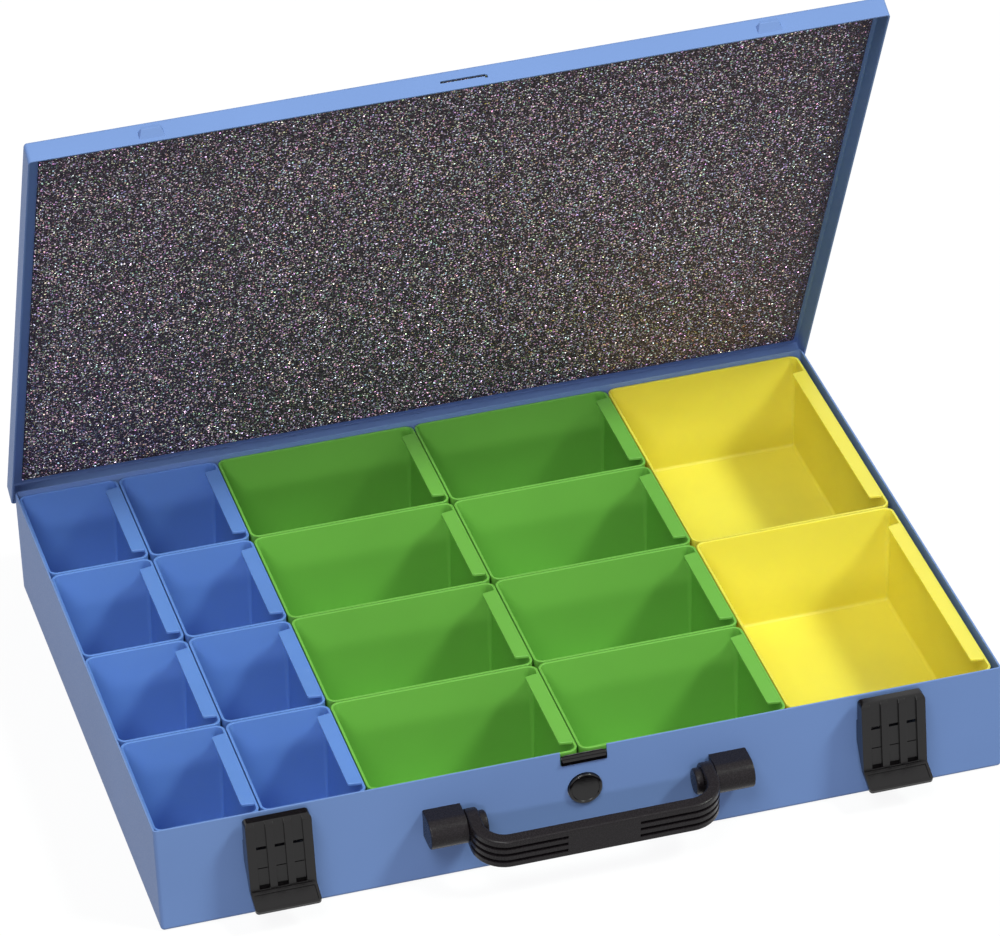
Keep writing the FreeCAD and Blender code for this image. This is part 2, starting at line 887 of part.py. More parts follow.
def make_handle_pin(side):
    """A headed pin from inside the handle's arm into its boss."""
    head_face = side * (handle_half_length - handle_strip - handle_end_gap)
    tip = side * (handle_half_length + handle_end_gap + handle_pin_depth)
    shank = rod(handle_pin_radius, min(head_face, tip), max(head_face, tip), handle_axis_y,
                handle_level)
    head_end = head_face - side * handle_pin_head_height
    head = rod(handle_pin_head_radius, min(head_face, head_end), max(head_face, head_end),
               handle_axis_y, handle_level)
    rim = [e for e in head.Edges
           if abs(e.BoundBox.XMin - head_end) < near and abs(e.BoundBox.XMax - head_end) < near]
    head = head.makeFillet(handle_pin_head_round, rim)
    return shank.fuse(head).removeSplitter()


def make_handle_rivets():
    rivets = []
    for x, z in boss_rivet_places():
        shank = stud(boss_rivet_radius, x, z, front_wall - boss_rivet_length, front_wall + sheet)
        head = Part.makeCone(
            boss_rivet_head_radius, boss_rivet_radius, boss_rivet_head_height,
            FreeCAD.Vector(x, front_wall + sheet, z), Y_AXIS,
        )
        rivets.append(shank.fuse(head).removeSplitter())
    return Part.makeCompound(rivets)


save("base_shell", make_base_shell())
save("base_hinge_leaf", make_base_hinge_leaf())
save("hinge_rod", make_hinge_rod())
save("lid_shell", opened(make_lid_shell()))
save("lid_foam_pad", opened(make_lid_foam()))
save_bins()
for side_name, middle_x in latch_centres().items():
    save("latch_lever_" + side_name, make_latch_lever(middle_x))
    save("latch_bracket_" + side_name, make_latch_bracket(middle_x))
    save("latch_pin_" + side_name, make_latch_pin(middle_x))
    save("latch_spring_" + side_name, make_latch_spring(middle_x))
save("latch_rivets", make_latch_rivets())
save("lock_button", make_lock_button())
save("lock_nose", make_lock_nose())
save("lock_strip", make_lock_strip())
save("lock_anchor", make_lock_anchor())
save("lock_rivets", make_lock_rivets())
save("handle_grip", make_handle_grip())
for side_name, side_sign in (("left", -1), ("right", 1)):
    save("handle_boss_" + side_name, make_boss(side_sign))
    save("handle_pin_" + side_name, make_handle_pin(side_sign))
save("handle_rivets", make_handle_rivets())
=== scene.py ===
# %% [markdown]
# # An assortment case in Blender
# A folded steel case with a hinged lid, eighteen lift-out bins, two latches, a push lock and a
# carrying handle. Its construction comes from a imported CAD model, which is loaded first as a fixed
# frame: every new piece is made in the frame's own metres, so nothing is fitted afterwards.

# %% Load the frame
import json
import math
import bmesh
import bpy
from bmesh.types import BMEdge, BMFace, BMVert
from mathutils import Matrix, Vector, noise


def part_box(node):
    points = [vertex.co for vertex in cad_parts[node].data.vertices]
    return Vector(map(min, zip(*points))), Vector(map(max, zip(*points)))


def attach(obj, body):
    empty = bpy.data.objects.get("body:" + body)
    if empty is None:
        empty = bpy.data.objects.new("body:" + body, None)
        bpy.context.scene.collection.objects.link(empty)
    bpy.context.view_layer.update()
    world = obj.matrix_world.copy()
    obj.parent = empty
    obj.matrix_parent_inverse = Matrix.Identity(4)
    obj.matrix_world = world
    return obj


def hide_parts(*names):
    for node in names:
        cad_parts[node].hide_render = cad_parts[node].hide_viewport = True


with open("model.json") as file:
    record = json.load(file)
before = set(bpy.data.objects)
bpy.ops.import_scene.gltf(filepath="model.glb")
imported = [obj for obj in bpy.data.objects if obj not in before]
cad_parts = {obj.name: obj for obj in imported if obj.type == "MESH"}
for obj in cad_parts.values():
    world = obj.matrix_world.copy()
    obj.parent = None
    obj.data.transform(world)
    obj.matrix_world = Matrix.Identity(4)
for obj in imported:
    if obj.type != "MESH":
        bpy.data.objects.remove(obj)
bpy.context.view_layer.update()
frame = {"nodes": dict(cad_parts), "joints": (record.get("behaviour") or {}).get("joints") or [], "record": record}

# %% [markdown]
# ## The sizes that everything follows
# The frame tells where each real piece is. Its boxes give the tray, the lid and every bin, and its
# joints give the hinge line and how far the lid stands open. Only sizes that a box can't show, such
# as the thickness of the sheet, are named here again.

# %% Sizes from the frame
mm = 0.001
sheet = 1.0 * mm
corner_bend = 2.0 * mm
lid_gap = 1.0 * mm
overrun = 5.0 * mm

tray_low, tray_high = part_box("base_shell")
half_length = tray_high.x
half_depth = tray_high.y
rim_level = tray_high.z
front_wall = tray_low.y

lid_half_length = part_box("lid_shell")[1].x
lid_half_depth = half_depth + lid_half_length - half_length
lid_inner_level = rim_level + lid_gap
lid_top = lid_inner_level + sheet
flange_depth = 12.0 * mm
flange_edge = lid_top - flange_depth

joints = {joint["name"]: joint for joint in frame["joints"]}
hinge_point = Vector(joints["lid_hinge"]["pos_m"])
open_angle = math.radians(-joints["lid_hinge"]["range_deg"][0])
print("tray", round(half_length * 2, 4), "by", round(half_depth * 2, 4), "m")
print("lid stands open at", round(math.degrees(open_angle), 1), "degrees")

# %% [markdown]
# ## Finishes as node materials
# Each finish is a Principled shader with its own fine structure. Noise on Object coordinates keeps
# a grain the same size on every piece, small or large. A few helpers join the nodes: `feed` either
# links a socket to an input or writes a plain value there, so that the others can take both.

# %% Node helpers
def feed(tree, node, inputs):
    """Fills a node's inputs: links another node's socket, or writes a plain value."""
    for name, value in inputs.items():
        socket = node.inputs[name]
        if isinstance(value, bpy.types.NodeSocket):
            tree.links.new(value, socket)
        else:
            socket.default_value = (*value, 1.0) if socket.type == "RGBA" else value


def add_node(tree, kind, inputs):
    node = tree.nodes.new("ShaderNode" + kind)
    feed(tree, node, inputs)
    return node


def calculate(tree, operation, *values, kind="Math"):
    """Values through a Math node, or vectors through a VectorMath node."""
    node = add_node(tree, kind, dict(enumerate(values)))
    node.operation = operation
    return node.outputs[0]


def value_range(tree, source, low, high, start=0.3, end=0.7):
    """Maps a texture's value from start..end to low..high."""
    mapping = add_node(tree, "MapRange", {"Value": source, "From Min": start, "From Max": end,
                                          "To Min": low, "To Max": high})
    return mapping.outputs["Result"]


def mix_colours(tree, factor, first, second):
    """A colour that goes from first to second with a factor."""
    mix = tree.nodes.new("ShaderNodeMix")
    mix.data_type = "RGBA"
    feed(tree, mix, {"Factor": factor, "A": first, "B": second})
    return mix.outputs["Result"]


def object_noise(tree, scale, detail=2.0, roughness=0.5):
    """Noise on Object coordinates: scale is how many waves there are in a metre."""
    place = tree.nodes.new("ShaderNodeTexCoord")
    texture = add_node(tree, "TexNoise", {"Vector": place.outputs["Object"], "Scale": scale,
                                          "Detail": detail, "Roughness": roughness})
    return texture.outputs["Fac"]


# %% Shader helpers
def shader_nodes(name, colour, roughness, specular=0.5):
    """A new material with a Principled shader, and its node tree for more nodes."""
    material = bpy.data.materials.new(name)
    material.use_nodes = True
    tree = material.node_tree
    shader = tree.nodes["Principled BSDF"]
    feed(tree, shader, {"Base Color": colour, "Roughness": roughness,
                        "Specular IOR Level": specular})
    return material, tree, shader


def shade(colour, share):
    """A colour made darker or lighter by a share."""
    return tuple(min(1.0, channel * share) for channel in colour)


def vary_colour(tree, shader, source, colour, darkest, lightest):
    """Lets a texture take the colour from a darker shade to a lighter one."""
    varied = mix_colours(tree, value_range(tree, source, 0.0, 1.0), shade(colour, darkest),
                         shade(colour, lightest))
    feed(tree, shader, {"Base Color": varied})


def vary_roughness(tree, shader, source, smoothest, roughest):
    """Lets a texture take the roughness from one value to another."""
    feed(tree, shader, {"Roughness": value_range(tree, source, smoothest, roughest)})


def add_bump(tree, shader, height, strength, depth):
    """A bump of a real depth, in metres, from a texture's value."""
    bump = add_node(tree, "Bump", {"Height": height, "Strength": strength, "Distance": depth})
    feed(tree, shader, {"Normal": bump.outputs["Normal"]})
    return bump


print("a grey at half its brightness", shade((0.5, 0.5, 0.5), 0.5))


# %% [markdown]
# ### Blue powder coat
# The sheet steel is sprayed with powder and baked. The coat is even, half glossy and never quite
# flat: it has the shallow dimples of an orange's skin, about a millimetre apart.

# %% Powder coat
def make_powder_coat(name, colour):
    material, tree, shader = shader_nodes(name, colour, roughness=0.50, specular=0.22)
    cloud = object_noise(tree, scale=9.0, detail=3.0)
    vary_colour(tree, shader, cloud, colour, darkest=0.96, lightest=1.05)
    dimples = object_noise(tree, scale=1100.0)
    vary_roughness(tree, shader, dimples, smoothest=0.42, roughest=0.58)
    add_bump(tree, shader, dimples, strength=0.25, depth=0.02 * mm)
    return material


blue_paint = make_powder_coat("blue_powder_coat", (0.150, 0.246, 0.510))
print("finish", blue_paint.name)

# %% [markdown]
# ### Bin plastic in three colours
# The bins are moulded in polystyrene. The plastic is satin inside and the colour goes right
# through it, so a little light scatters under its skin. One function makes all three colours.

# %% Bin plastic
def make_bin_plastic(name, colour, glow):
    material, tree, shader = shader_nodes(name, colour, roughness=0.36)
    feed(tree, shader, {"Subsurface Weight": glow, "Subsurface Radius": (1.0, 0.8, 0.3),
                        "Subsurface Scale": 5.0 * mm})
    flow = object_noise(tree, scale=14.0, detail=3.0)
    vary_colour(tree, shader, flow, colour, darkest=0.95, lightest=1.05)
    grain = object_noise(tree, scale=1600.0)
    vary_roughness(tree, shader, grain, smoothest=0.32, roughest=0.44)
    add_bump(tree, shader, grain, strength=0.20, depth=0.02 * mm)
    return material


bin_plastics = {
    "small": make_bin_plastic("bin_plastic_blue", (0.112, 0.236, 0.590), glow=0.06),
    "medium": make_bin_plastic("bin_plastic_green", (0.150, 0.420, 0.062), glow=0.06),
    "large": make_bin_plastic("bin_plastic_yellow", (0.780, 0.675, 0.076), glow=0.50),
}
bin_slots = {"small": "blue_bin", "medium": "green_bin", "large": "yellow_bin"}
print("bin plastics", len(bin_plastics))

# %% [markdown]
# ### Black plastic
# The handle and its bosses are moulded in black with a fine eroded grain. The grain breaks up the
# shine into small sparks, so it goes into the roughness and the bump, and hardly into the colour.
# The latches and the lock come from a polished mould: the same nodes with a shallow grain, so that
# their rounded edges catch the light as thin bright lines.

# %% Black plastic
def make_black_plastic(name, colour, specular, smoothest, roughest, grain_depth):
    material, tree, shader = shader_nodes(name, colour, roughest, specular)
    grain = object_noise(tree, scale=1500.0, detail=3.0, roughness=0.6)
    vary_colour(tree, shader, grain, colour, darkest=0.8, lightest=1.5)
    vary_roughness(tree, shader, grain, smoothest, roughest)
    add_bump(tree, shader, grain, strength=0.8, depth=grain_depth)
    return material


black_grained = make_black_plastic("black_grained_plastic", (0.0110, 0.0090, 0.0105),
                                   specular=0.16, smoothest=0.16, roughest=0.36,
                                   grain_depth=0.10 * mm)
black_smooth = make_black_plastic("black_smooth_plastic", (0.0030, 0.0024, 0.0028),
                                  specular=0.38, smoothest=0.10, roughest=0.22,
                                  grain_depth=0.02 * mm)
print("finishes", black_grained.name, black_smooth.name)

# %% [markdown]
# ### Flecked foam
# The lid's pad is cut from a dark foam with an open skin. Its torn cells are tiny shiny films that
# lean every way, and only those that lean towards a light flash up, pale or coloured. A Voronoi
# texture gives each cell a random colour and the distance from its middle, which makes a fleck of
# a known size. Inside a fleck the surface is metal and its normal leans by the cell's own random
# colour, mostly upwards, so the sparkle comes from the lamps and not from paint.

# %% Foam
foam_dark = (0.064, 0.050, 0.068)
foam_pale = (1.0, 0.82, 1.0)
fleck_layers = (
    {"scale": 1250.0, "size": 0.42, "share": 0.45},
    {"scale": 640.0, "size": 0.36, "share": 0.80},
)
fleck_core = 0.8
fleck_tint = 0.50
fleck_lean = 2.3
fleck_middle = (0.5, 0.6, 0.0)


def fleck_layer(tree, scale, size, share):
    """Flecks in a share of the cells: a mask, a random colour and a random lean for each."""
    place = tree.nodes.new("ShaderNodeTexCoord")
    cells = add_node(tree, "TexVoronoi", {"Vector": place.outputs["Object"], "Scale": scale})
    inside = value_range(tree, cells.outputs["Distance"], 1.0, 0.0, size * fleck_core, size)
    split = add_node(tree, "SeparateColor", {"Color": cells.outputs["Color"]})
    chosen = value_range(tree, split.outputs["Red"], 0.0, 1.0, 1.0 - share,
                         1.0 - share * fleck_core)
    chance = add_node(tree, "TexWhiteNoise", {"Vector": cells.outputs["Position"]})
    mask = calculate(tree, "MULTIPLY", inside, chosen)
    return mask, chance.outputs["Color"], cells.outputs["Color"]


def lean_normal(tree, normal, mask, random_lean):
    """A normal that leans by a random vector where a mask is set."""
    centred = calculate(tree, "SUBTRACT", random_lean, fleck_middle, kind="VectorMath")
    lean = calculate(tree, "MULTIPLY", centred, (fleck_lean,) * 3, kind="VectorMath")
    masked = calculate(tree, "MULTIPLY", lean, mask, kind="VectorMath")
    return calculate(tree, "ADD", normal, masked, kind="VectorMath")


def make_foam(name):
    material, tree, shader = shader_nodes(name, foam_dark, roughness=0.85, specular=0.2)
    cells = object_noise(tree, scale=900.0, detail=4.0, roughness=0.7)
    colour = mix_colours(tree, value_range(tree, cells, 0.0, 1.0, start=0.35, end=0.65),
                         shade(foam_dark, 0.15), shade(foam_dark, 1.8))
    normal = tree.nodes.new("ShaderNodeNewGeometry").outputs["Normal"]
    masks = []
    for layer in fleck_layers:
        mask, random_colour, random_lean = fleck_layer(tree, **layer)
        fleck_colour = mix_colours(tree, fleck_tint, foam_pale, random_colour)
        colour = mix_colours(tree, mask, colour, fleck_colour)
        normal = lean_normal(tree, normal, mask, random_lean)
        masks.append(mask)
    shine = calculate(tree, "MAXIMUM", *masks)
    feed(tree, shader, {
        "Base Color": colour,
        "Metallic": value_range(tree, shine, 0.0, 0.95, start=0.0, end=1.0),
        "Roughness": value_range(tree, shine, 0.85, 0.30, start=0.0, end=1.0),
    })
    bump = add_bump(tree, shader, cells, strength=0.5, depth=0.12 * mm)
    feed(tree, bump, {"Normal": calculate(tree, "NORMALIZE", normal, kind="VectorMath")})
    return material


foam = make_foam("flecked_foam")
print("foam nodes", len(foam.node_tree.nodes))

# %% [markdown]
# ### Plated steel
# Rivets, pins and springs are zinc plated: a soft grey metal with fine brushing and pale and dark
# patches where the plating took differently.

# %% Plated steel
def make_plated_steel(name, colour):
    material, tree, shader = shader_nodes(name, colour, roughness=0.32)
    feed(tree, shader, {"Metallic": 1.0})
    patches = object_noise(tree, scale=260.0, detail=4.0)
    vary_colour(tree, shader, patches, colour, darkest=0.78, lightest=1.12)
    vary_roughness(tree, shader, patches, smoothest=0.24, roughest=0.46)
    fine = object_noise(tree, scale=2200.0)
    add_bump(tree, shader, fine, strength=0.15, depth=0.02 * mm)
    return material


slot_materials = {
    "blue_paint": blue_paint,
    "blue_bin": bin_plastics["small"],
    "green_bin": bin_plastics["medium"],
    "yellow_bin": bin_plastics["large"],
    "black_plastic": black_grained,
    "foam": foam,
    "plated_steel": make_plated_steel("zinc_plated_steel", (0.52, 0.52, 0.54)),
}
print("slots", len(slot_materials))

# %% [markdown]
# ## From a bmesh to a piece
# A piece starts as a bmesh and ends as an object at the origin that rides on its body. `settle`
# applies a modifier, so that a later one works on the result, and `carve` cuts one closed mesh
# out of another, as a punch or a mould core does on the real piece.

# %% Objects and modifiers
def to_object(name, shape):
    """An object from a bmesh, with its faces turned outwards."""
    bmesh.ops.recalc_face_normals(shape, faces=shape.faces)
    mesh = bpy.data.meshes.new(name)
    shape.to_mesh(mesh)
    shape.free()
    obj = bpy.data.objects.new(name, mesh)
    bpy.context.scene.collection.objects.link(obj)
    return obj


def settle(obj):
    """Applies the modifiers."""
    bpy.context.view_layer.update()
    graph = bpy.context.evaluated_depsgraph_get()
    mesh = bpy.data.meshes.new_from_object(obj.evaluated_get(graph))
    old = obj.data
    obj.modifiers.clear()
    obj.data = mesh
    bpy.data.meshes.remove(old)
    mesh.name = obj.name


def carve(obj, shape, operation="DIFFERENCE"):
    """Cuts a closed bmesh out of a piece, adds it, or keeps only what both share."""
    cutter = to_object(obj.name + "_cutter", shape)
    boolean = obj.modifiers.new("carve", "BOOLEAN")
    boolean.operation = operation
    boolean.solver = "EXACT"
    boolean.object = cutter
    settle(obj)
    mesh = cutter.data
    bpy.data.objects.remove(cutter)
    bpy.data.meshes.remove(mesh)


def soften(obj, width, segments, angle):
    """Rounds the edges that are sharper than an angle."""
    bevel = obj.modifiers.new("soften", "BEVEL")
    bevel.width = width
    bevel.segments = segments
    bevel.limit_method = "ANGLE"
    bevel.angle_limit = math.radians(angle)
    settle(obj)


def dress(obj, body, slot, node, smooth=35.0, finish=None):
    """Shading, finish and body of a finished piece, and the CAD node that it stands for."""
    obj.data.materials.clear()
    obj.data.materials.append(finish or slot_materials[slot])
    obj.data.shade_smooth()
    obj.data.set_sharp_from_angle(angle=math.radians(smooth))
    weigh = obj.modifiers.new("weigh_normals", "WEIGHTED_NORMAL")
    weigh.keep_sharp = True
    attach(obj, body)
    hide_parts(node)
    print(obj.name, "faces", len(obj.data.polygons))


# %% [markdown]
# ## Simple shapes from operators
# `block` is a cube operator put between two corners. `prism` draws a side view as one face and
# pulls it out sideways, and `turned` spins a profile once round a line, as a lathe would.

# %% Blocks, prisms and turned shapes
tolerance = 0.01 * mm


def close(first, second):
    return abs(first - second) < tolerance


def picked(parts, kind):
    """Only the vertices, the edges or the faces of what an operator made."""
    return [part for part in parts if isinstance(part, kind)]


def tilt(shape, verts, centre, angle):
    """Turns vertices about a line along X."""
    bmesh.ops.rotate(shape, verts=verts, cent=centre, matrix=Matrix.Rotation(angle, 3, "X"))


def round_edges(shape, edges, offset, segments):
    bmesh.ops.bevel(shape, geom=edges, offset=offset, offset_type="OFFSET", segments=segments,
                    profile=0.5, affect="EDGES", clamp_overlap=True, material=-1)


def block(shape, x0, x1, y0, y1, z0, z1):
    """A box between two corners. Returns its vertices."""
    verts = bmesh.ops.create_cube(shape, size=1.0)["verts"]
    bmesh.ops.scale(shape, vec=(x1 - x0, y1 - y0, z1 - z0), verts=verts)
    middle = Vector((x0 + x1, y0 + y1, z0 + z1)) / 2
    bmesh.ops.translate(shape, vec=middle, verts=verts)
    return verts


def punch(obj, *corners):
    """Cuts a block out of a piece."""
    shape = bmesh.new()
    block(shape, *corners)
    carve(obj, shape)


def pull(shape, face, vec):
    """Pulls a face out along a vector, and returns the face at the far end."""
    made = bmesh.ops.extrude_face_region(shape, geom=[face])["geom"]
    bmesh.ops.translate(shape, verts=picked(made, BMVert), vec=vec)
    return picked(made, BMFace)[0]


def prism(shape, outline, x0, x1):
    """A prism along X from an outline of (y, z)."""
    face = shape.faces.new([shape.verts.new((x0, y, z)) for y, z in outline])
    pull(shape, face, (x1 - x0, 0, 0))


def turned(name, profile, centre, axis, steps):
    """A turned piece from the points of its profile."""
    shape = bmesh.new()
    verts = [shape.verts.new(point) for point in profile]
    edges = [shape.edges.new(pair) for pair in zip(verts, verts[1:])]
    bmesh.ops.spin(shape, geom=[*verts, *edges], cent=centre, axis=axis, angle=2 * math.pi,
                   steps=steps, use_merge=True, use_duplicate=False)
    bmesh.ops.remove_doubles(shape, verts=shape.verts, dist=tolerance / 10)
    return to_object(name, shape)


print("places count as the same within", tolerance / mm, "mm")


# %% [markdown]
# ## A stack of rings
# The tray, the lid and all bins have a round-cornered plan. `stack` grows a circle into ring after
# ring, and pushes each ring's quarters out to the four corners. Extruding a ring keeps the skin
# closed, and each ring can have its own corner radius, which a bevel on a box couldn't give.

# %% Stack
def fit_ring(places, steps, centre, ring):
    """Puts the vertices of a circle on a round-cornered rectangle at one level."""
    half_x, half_y, radius, level = ring
    for vert, place in places.items():
        corner, step = divmod(place, steps + 1)
        angle = math.pi / 2 * (corner + step / steps)
        side_x = 1 if corner in (0, 3) else -1
        side_y = 1 if corner in (0, 1) else -1
        vert.co = Vector((
            centre[0] + side_x * (half_x - radius) + radius * math.cos(angle),
            centre[1] + side_y * (half_y - radius) + radius * math.sin(angle),
            level,
        ))


def stack(shape, centre, rings, steps):
    """A closed skin through rings of (half_x, half_y, radius, level)."""
    made = bmesh.ops.create_circle(shape, segments=4 * (steps + 1), radius=mm)
    around = sorted(made["verts"], key=lambda vert: math.atan2(vert.co.y, vert.co.x))
    places = {vert: number for number, vert in enumerate(around)}
    edges = list({edge for vert in places for edge in vert.link_edges})
    fit_ring(places, steps, centre, rings[0])
    bmesh.ops.contextual_create(shape, geom=edges)
    for ring in rings[1:]:
        grown = bmesh.ops.extrude_edge_only(shape, edges=edges)["geom"]
        fresh = {}
        for vert in picked(grown, BMVert):
            for edge in vert.link_edges:
                if edge.other_vert(vert) in places:
                    fresh[vert] = places[edge.other_vert(vert)]
        edges = [edge for edge in picked(grown, BMEdge) if all(v in fresh for v in edge.verts)]
        places = fresh
        fit_ring(places, steps, centre, ring)
    bmesh.ops.contextual_create(shape, geom=edges)


def quarter(radius, steps):
    """Points of a quarter round as (in from the side, on from the end)."""
    points = []
    for step in range(steps + 1):
        angle = math.pi / 2 * step / steps
        points.append((radius * (1 - math.cos(angle)), radius * (1 - math.sin(angle))))
    return points


print("a quarter round of 1 in 2 steps", quarter(1.0, 2))

# %% [markdown]
# ## The tray
# The tray is one steel sheet folded up on four sides, so it has the same thin wall everywhere, a
# small bend along the bottom and down each corner, and a rim that shows the sheet's cut edge. A
# stack of rings draws that section once and turns it right round. The notch for the lock and the
# button's hole are punched out at the end, as in the press.

# %% Folded sheet
sheet_tightest_corner = 0.15 * mm
rim_round = 0.25 * mm
ring_steps = 6


def folded_rings(half_x, half_y, rim):
    """Rings of a folded sheet, from the middle of its underside over the rim to its floor."""
    rings = []
    for inwards, down in reversed(quarter(corner_bend, 5)):
        corner = max(corner_bend - inwards, sheet_tightest_corner)
        rings.append((half_x - inwards, half_y - inwards, corner, down))
    for inwards, down in quarter(rim_round, 2):
        rings.append((half_x - inwards, half_y - inwards, corner_bend - inwards, rim - down))
    for inwards, down in reversed(quarter(rim_round, 2)):
        reach = sheet - inwards
        rings.append((half_x - reach, half_y - reach, corner_bend - reach, rim - down))
    inner_bend = corner_bend - sheet
    for inwards, down in quarter(inner_bend, 3):
        reach = sheet + inwards
        corner = max(inner_bend - inwards, sheet_tightest_corner)
        rings.append((half_x - reach, half_y - reach, corner, sheet + down))
    return rings


print("rings of the tray", len(folded_rings(half_length, half_depth, rim_level)))


# %% Tray
notch_half = 12.0 * mm
notch_depth = 8.0 * mm
button_radius = 8.75 * mm
button_gap = 0.2 * mm
button_steps = 72
button_low, button_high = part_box("lock_button")
button_level = (button_low.z + button_high.z) / 2

shape = bmesh.new()
stack(shape, (0, 0), folded_rings(half_length, half_depth, rim_level), ring_steps)
tray = to_object("tray", shape)
punch(tray, -notch_half, notch_half, front_wall - overrun, front_wall + overrun,
      rim_level - notch_depth, rim_level + overrun)
shape = bmesh.new()
bmesh.ops.create_cone(shape, cap_ends=True, segments=button_steps, depth=2 * overrun,
                      radius1=button_radius + button_gap, radius2=button_radius + button_gap)
tilt(shape, shape.verts, (0, 0, 0), math.pi / 2)
bmesh.ops.translate(shape, verts=shape.verts, vec=(0, front_wall, button_level))
carve(tray, shape)
soften(tray, width=0.15 * mm, segments=2, angle=70.0)
dress(tray, "case", "blue_paint", "base_shell", smooth=30.0)

# %% [markdown]
# ## The hinge
# A piano hinge is rolled from strip: each knuckle is the strip's own edge, curled round the rod.
# `curl` draws the strip's end and spins it round the hinge line, and leaves the small open seam
# that a rolled knuckle has. The lid's knuckles grow out of its back flange, and the tray's out of
# a leaf that is welded to the back wall.

# %% Knuckles
knuckle_count = 11
knuckle_end_margin = 6.0 * mm
knuckle_gap = 0.5 * mm
knuckle_wall = 0.95 * mm
knuckle_bore = 1.3 * mm
knuckle_radius = knuckle_bore + knuckle_wall
knuckle_swing_gap = 0.35 * mm
knuckle_start = math.radians(170.0)
knuckle_turn = math.radians(-330.0)
knuckle_steps = 28


def knuckle_spans():
    """The X span of each knuckle, with True for the tray's own."""
    whole = 2 * (half_length - knuckle_end_margin)
    pitch = whole / knuckle_count
    spans = []
    for number in range(knuckle_count):
        start = -whole / 2 + number * pitch
        spans.append((start + knuckle_gap / 2, start + pitch - knuckle_gap / 2, number % 2 == 0))
    return spans


def curl(shape, x0, x1):
    """A strip's edge rolled round the hinge line."""
    verts = []
    for reach in (knuckle_bore, knuckle_radius):
        for x in (x0, x1):
            verts.append(shape.verts.new((x, hinge_point.y + reach, hinge_point.z)))
    face = shape.faces.new((verts[0], verts[1], verts[3], verts[2]))
    tilt(shape, verts, hinge_point, knuckle_start)
    bmesh.ops.spin(shape, geom=[face, *face.edges, *face.verts], cent=hinge_point,
                   axis=(1, 0, 0), angle=knuckle_turn, steps=knuckle_steps, use_merge=False,
                   use_duplicate=False)


print("knuckles", len(knuckle_spans()))

# %% [markdown]
# ## The lid
# The lid is folded like the tray, upside down and a little larger, so the same rings serve,
# mirrored. It is built closed, where its sizes are easy to read, and turned open about the hinge
# line as the last step. The two wedges that the latches hold down are pressed out of the front
# flange, and the lock's tongue gets a slot between them, which ends in a small hook.

# %% Lugs
lug_length = 13.5 * mm
lug_reach = 2.5 * mm
lug_drop = 5.5 * mm
lug_end_slope = 2.0 * mm
lug_tip = 0.6 * mm
lug_round = 0.25 * mm
latch_low, latch_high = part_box("latch_lever_right")
latch_offset = (latch_low.x + latch_high.x) / 2
latch_top = latch_high.z
latch_nose_height = 2.4 * mm
latch_nose_gap = 0.4 * mm
lug_top = latch_top - latch_nose_height - latch_nose_gap


def lug(shape, centre):
    """A wedge that stands out from the closed lid's front flange."""
    verts = block(shape, centre - lug_length / 2, centre + lug_length / 2,
                  -lid_half_depth - lug_reach, -lid_half_depth + sheet / 2,
                  lug_top - lug_drop, lug_top)
    for vert in verts:
        if vert.co.y < -lid_half_depth - lug_reach / 2:
            side = 1 if vert.co.x > centre else -1
            vert.co.x -= side * lug_end_slope
            if vert.co.z < lug_top - lug_drop / 2:
                vert.co.z = lug_top - lug_tip
    edges = list({edge for vert in verts for edge in vert.link_edges})
    round_edges(shape, edges, lug_round, 2)


print("lugs at", round(latch_offset / mm, 1), "mm each side of the middle")

# %% Lid shell
slot_half = 11.55 * mm
slot_low = 54.75 * mm
slot_high = 56.05 * mm
slot_hook = 0.9 * mm

shape = bmesh.new()
stack(shape, (0, 0), folded_rings(lid_half_length, lid_half_depth, flange_depth), ring_steps)
bmesh.ops.scale(shape, vec=(1, 1, -1), verts=shape.verts)
bmesh.ops.translate(shape, vec=(0, 0, lid_top), verts=shape.verts)
lid = to_object("lid", shape)

shape = bmesh.new()
block(shape, -slot_half, slot_half, -lid_half_depth - overrun, -half_depth, slot_low, slot_high)
for start, end, fixed in knuckle_spans():
    if fixed:
        block(shape, start - knuckle_gap, end + knuckle_gap,
              lid_half_depth - 1.5 * sheet, lid_half_depth + overrun,
              flange_edge - overrun, hinge_point.z + knuckle_radius + knuckle_swing_gap)
carve(lid, shape)
punch(lid, slot_half - slot_hook / 2, slot_half + slot_hook, -lid_half_depth - overrun,
      -half_depth, slot_low - slot_hook, slot_high - slot_hook / 2)
soften(lid, width=0.12 * mm, segments=2, angle=70.0)
print("lid shell without lugs and knuckles, faces", len(lid.data.polygons))

# %% Lid with lugs and knuckles, turned open
shape = bmesh.new()
shape.from_mesh(lid.data)
for centre in (-latch_offset, latch_offset):
    lug(shape, centre)
for start, end, fixed in knuckle_spans():
    if not fixed:
        curl(shape, start, end)
tilt(shape, shape.verts, hinge_point, -open_angle)
bmesh.ops.recalc_face_normals(shape, faces=shape.faces)
shape.to_mesh(lid.data)
shape.free()
dress(lid, "lid", "blue_paint", "lid_shell", smooth=30.0)

# %% [markdown]
# ## The foam pad
# A sheet of foam is cut to size and glued into the lid. Cut foam is never a perfect plate: its
# face rolls over a little at the cut edge, and it is not quite even. A fine grid gives that
# freedom. Its border is lifted towards the lid in a soft curve, and slow noise lifts and sinks
# the face.

# %% Foam pad
foam_thickness = 2.5 * mm
foam_left_margin = 7.0 * mm
foam_right_margin = 3.0 * mm
foam_front_margin = 4.0 * mm
foam_back_margin = 5.0 * mm
foam_columns = 170
foam_rows = 126
foam_roll = 1.1 * mm
foam_wave = 0.16 * mm
foam_waves_per_metre = 38.0


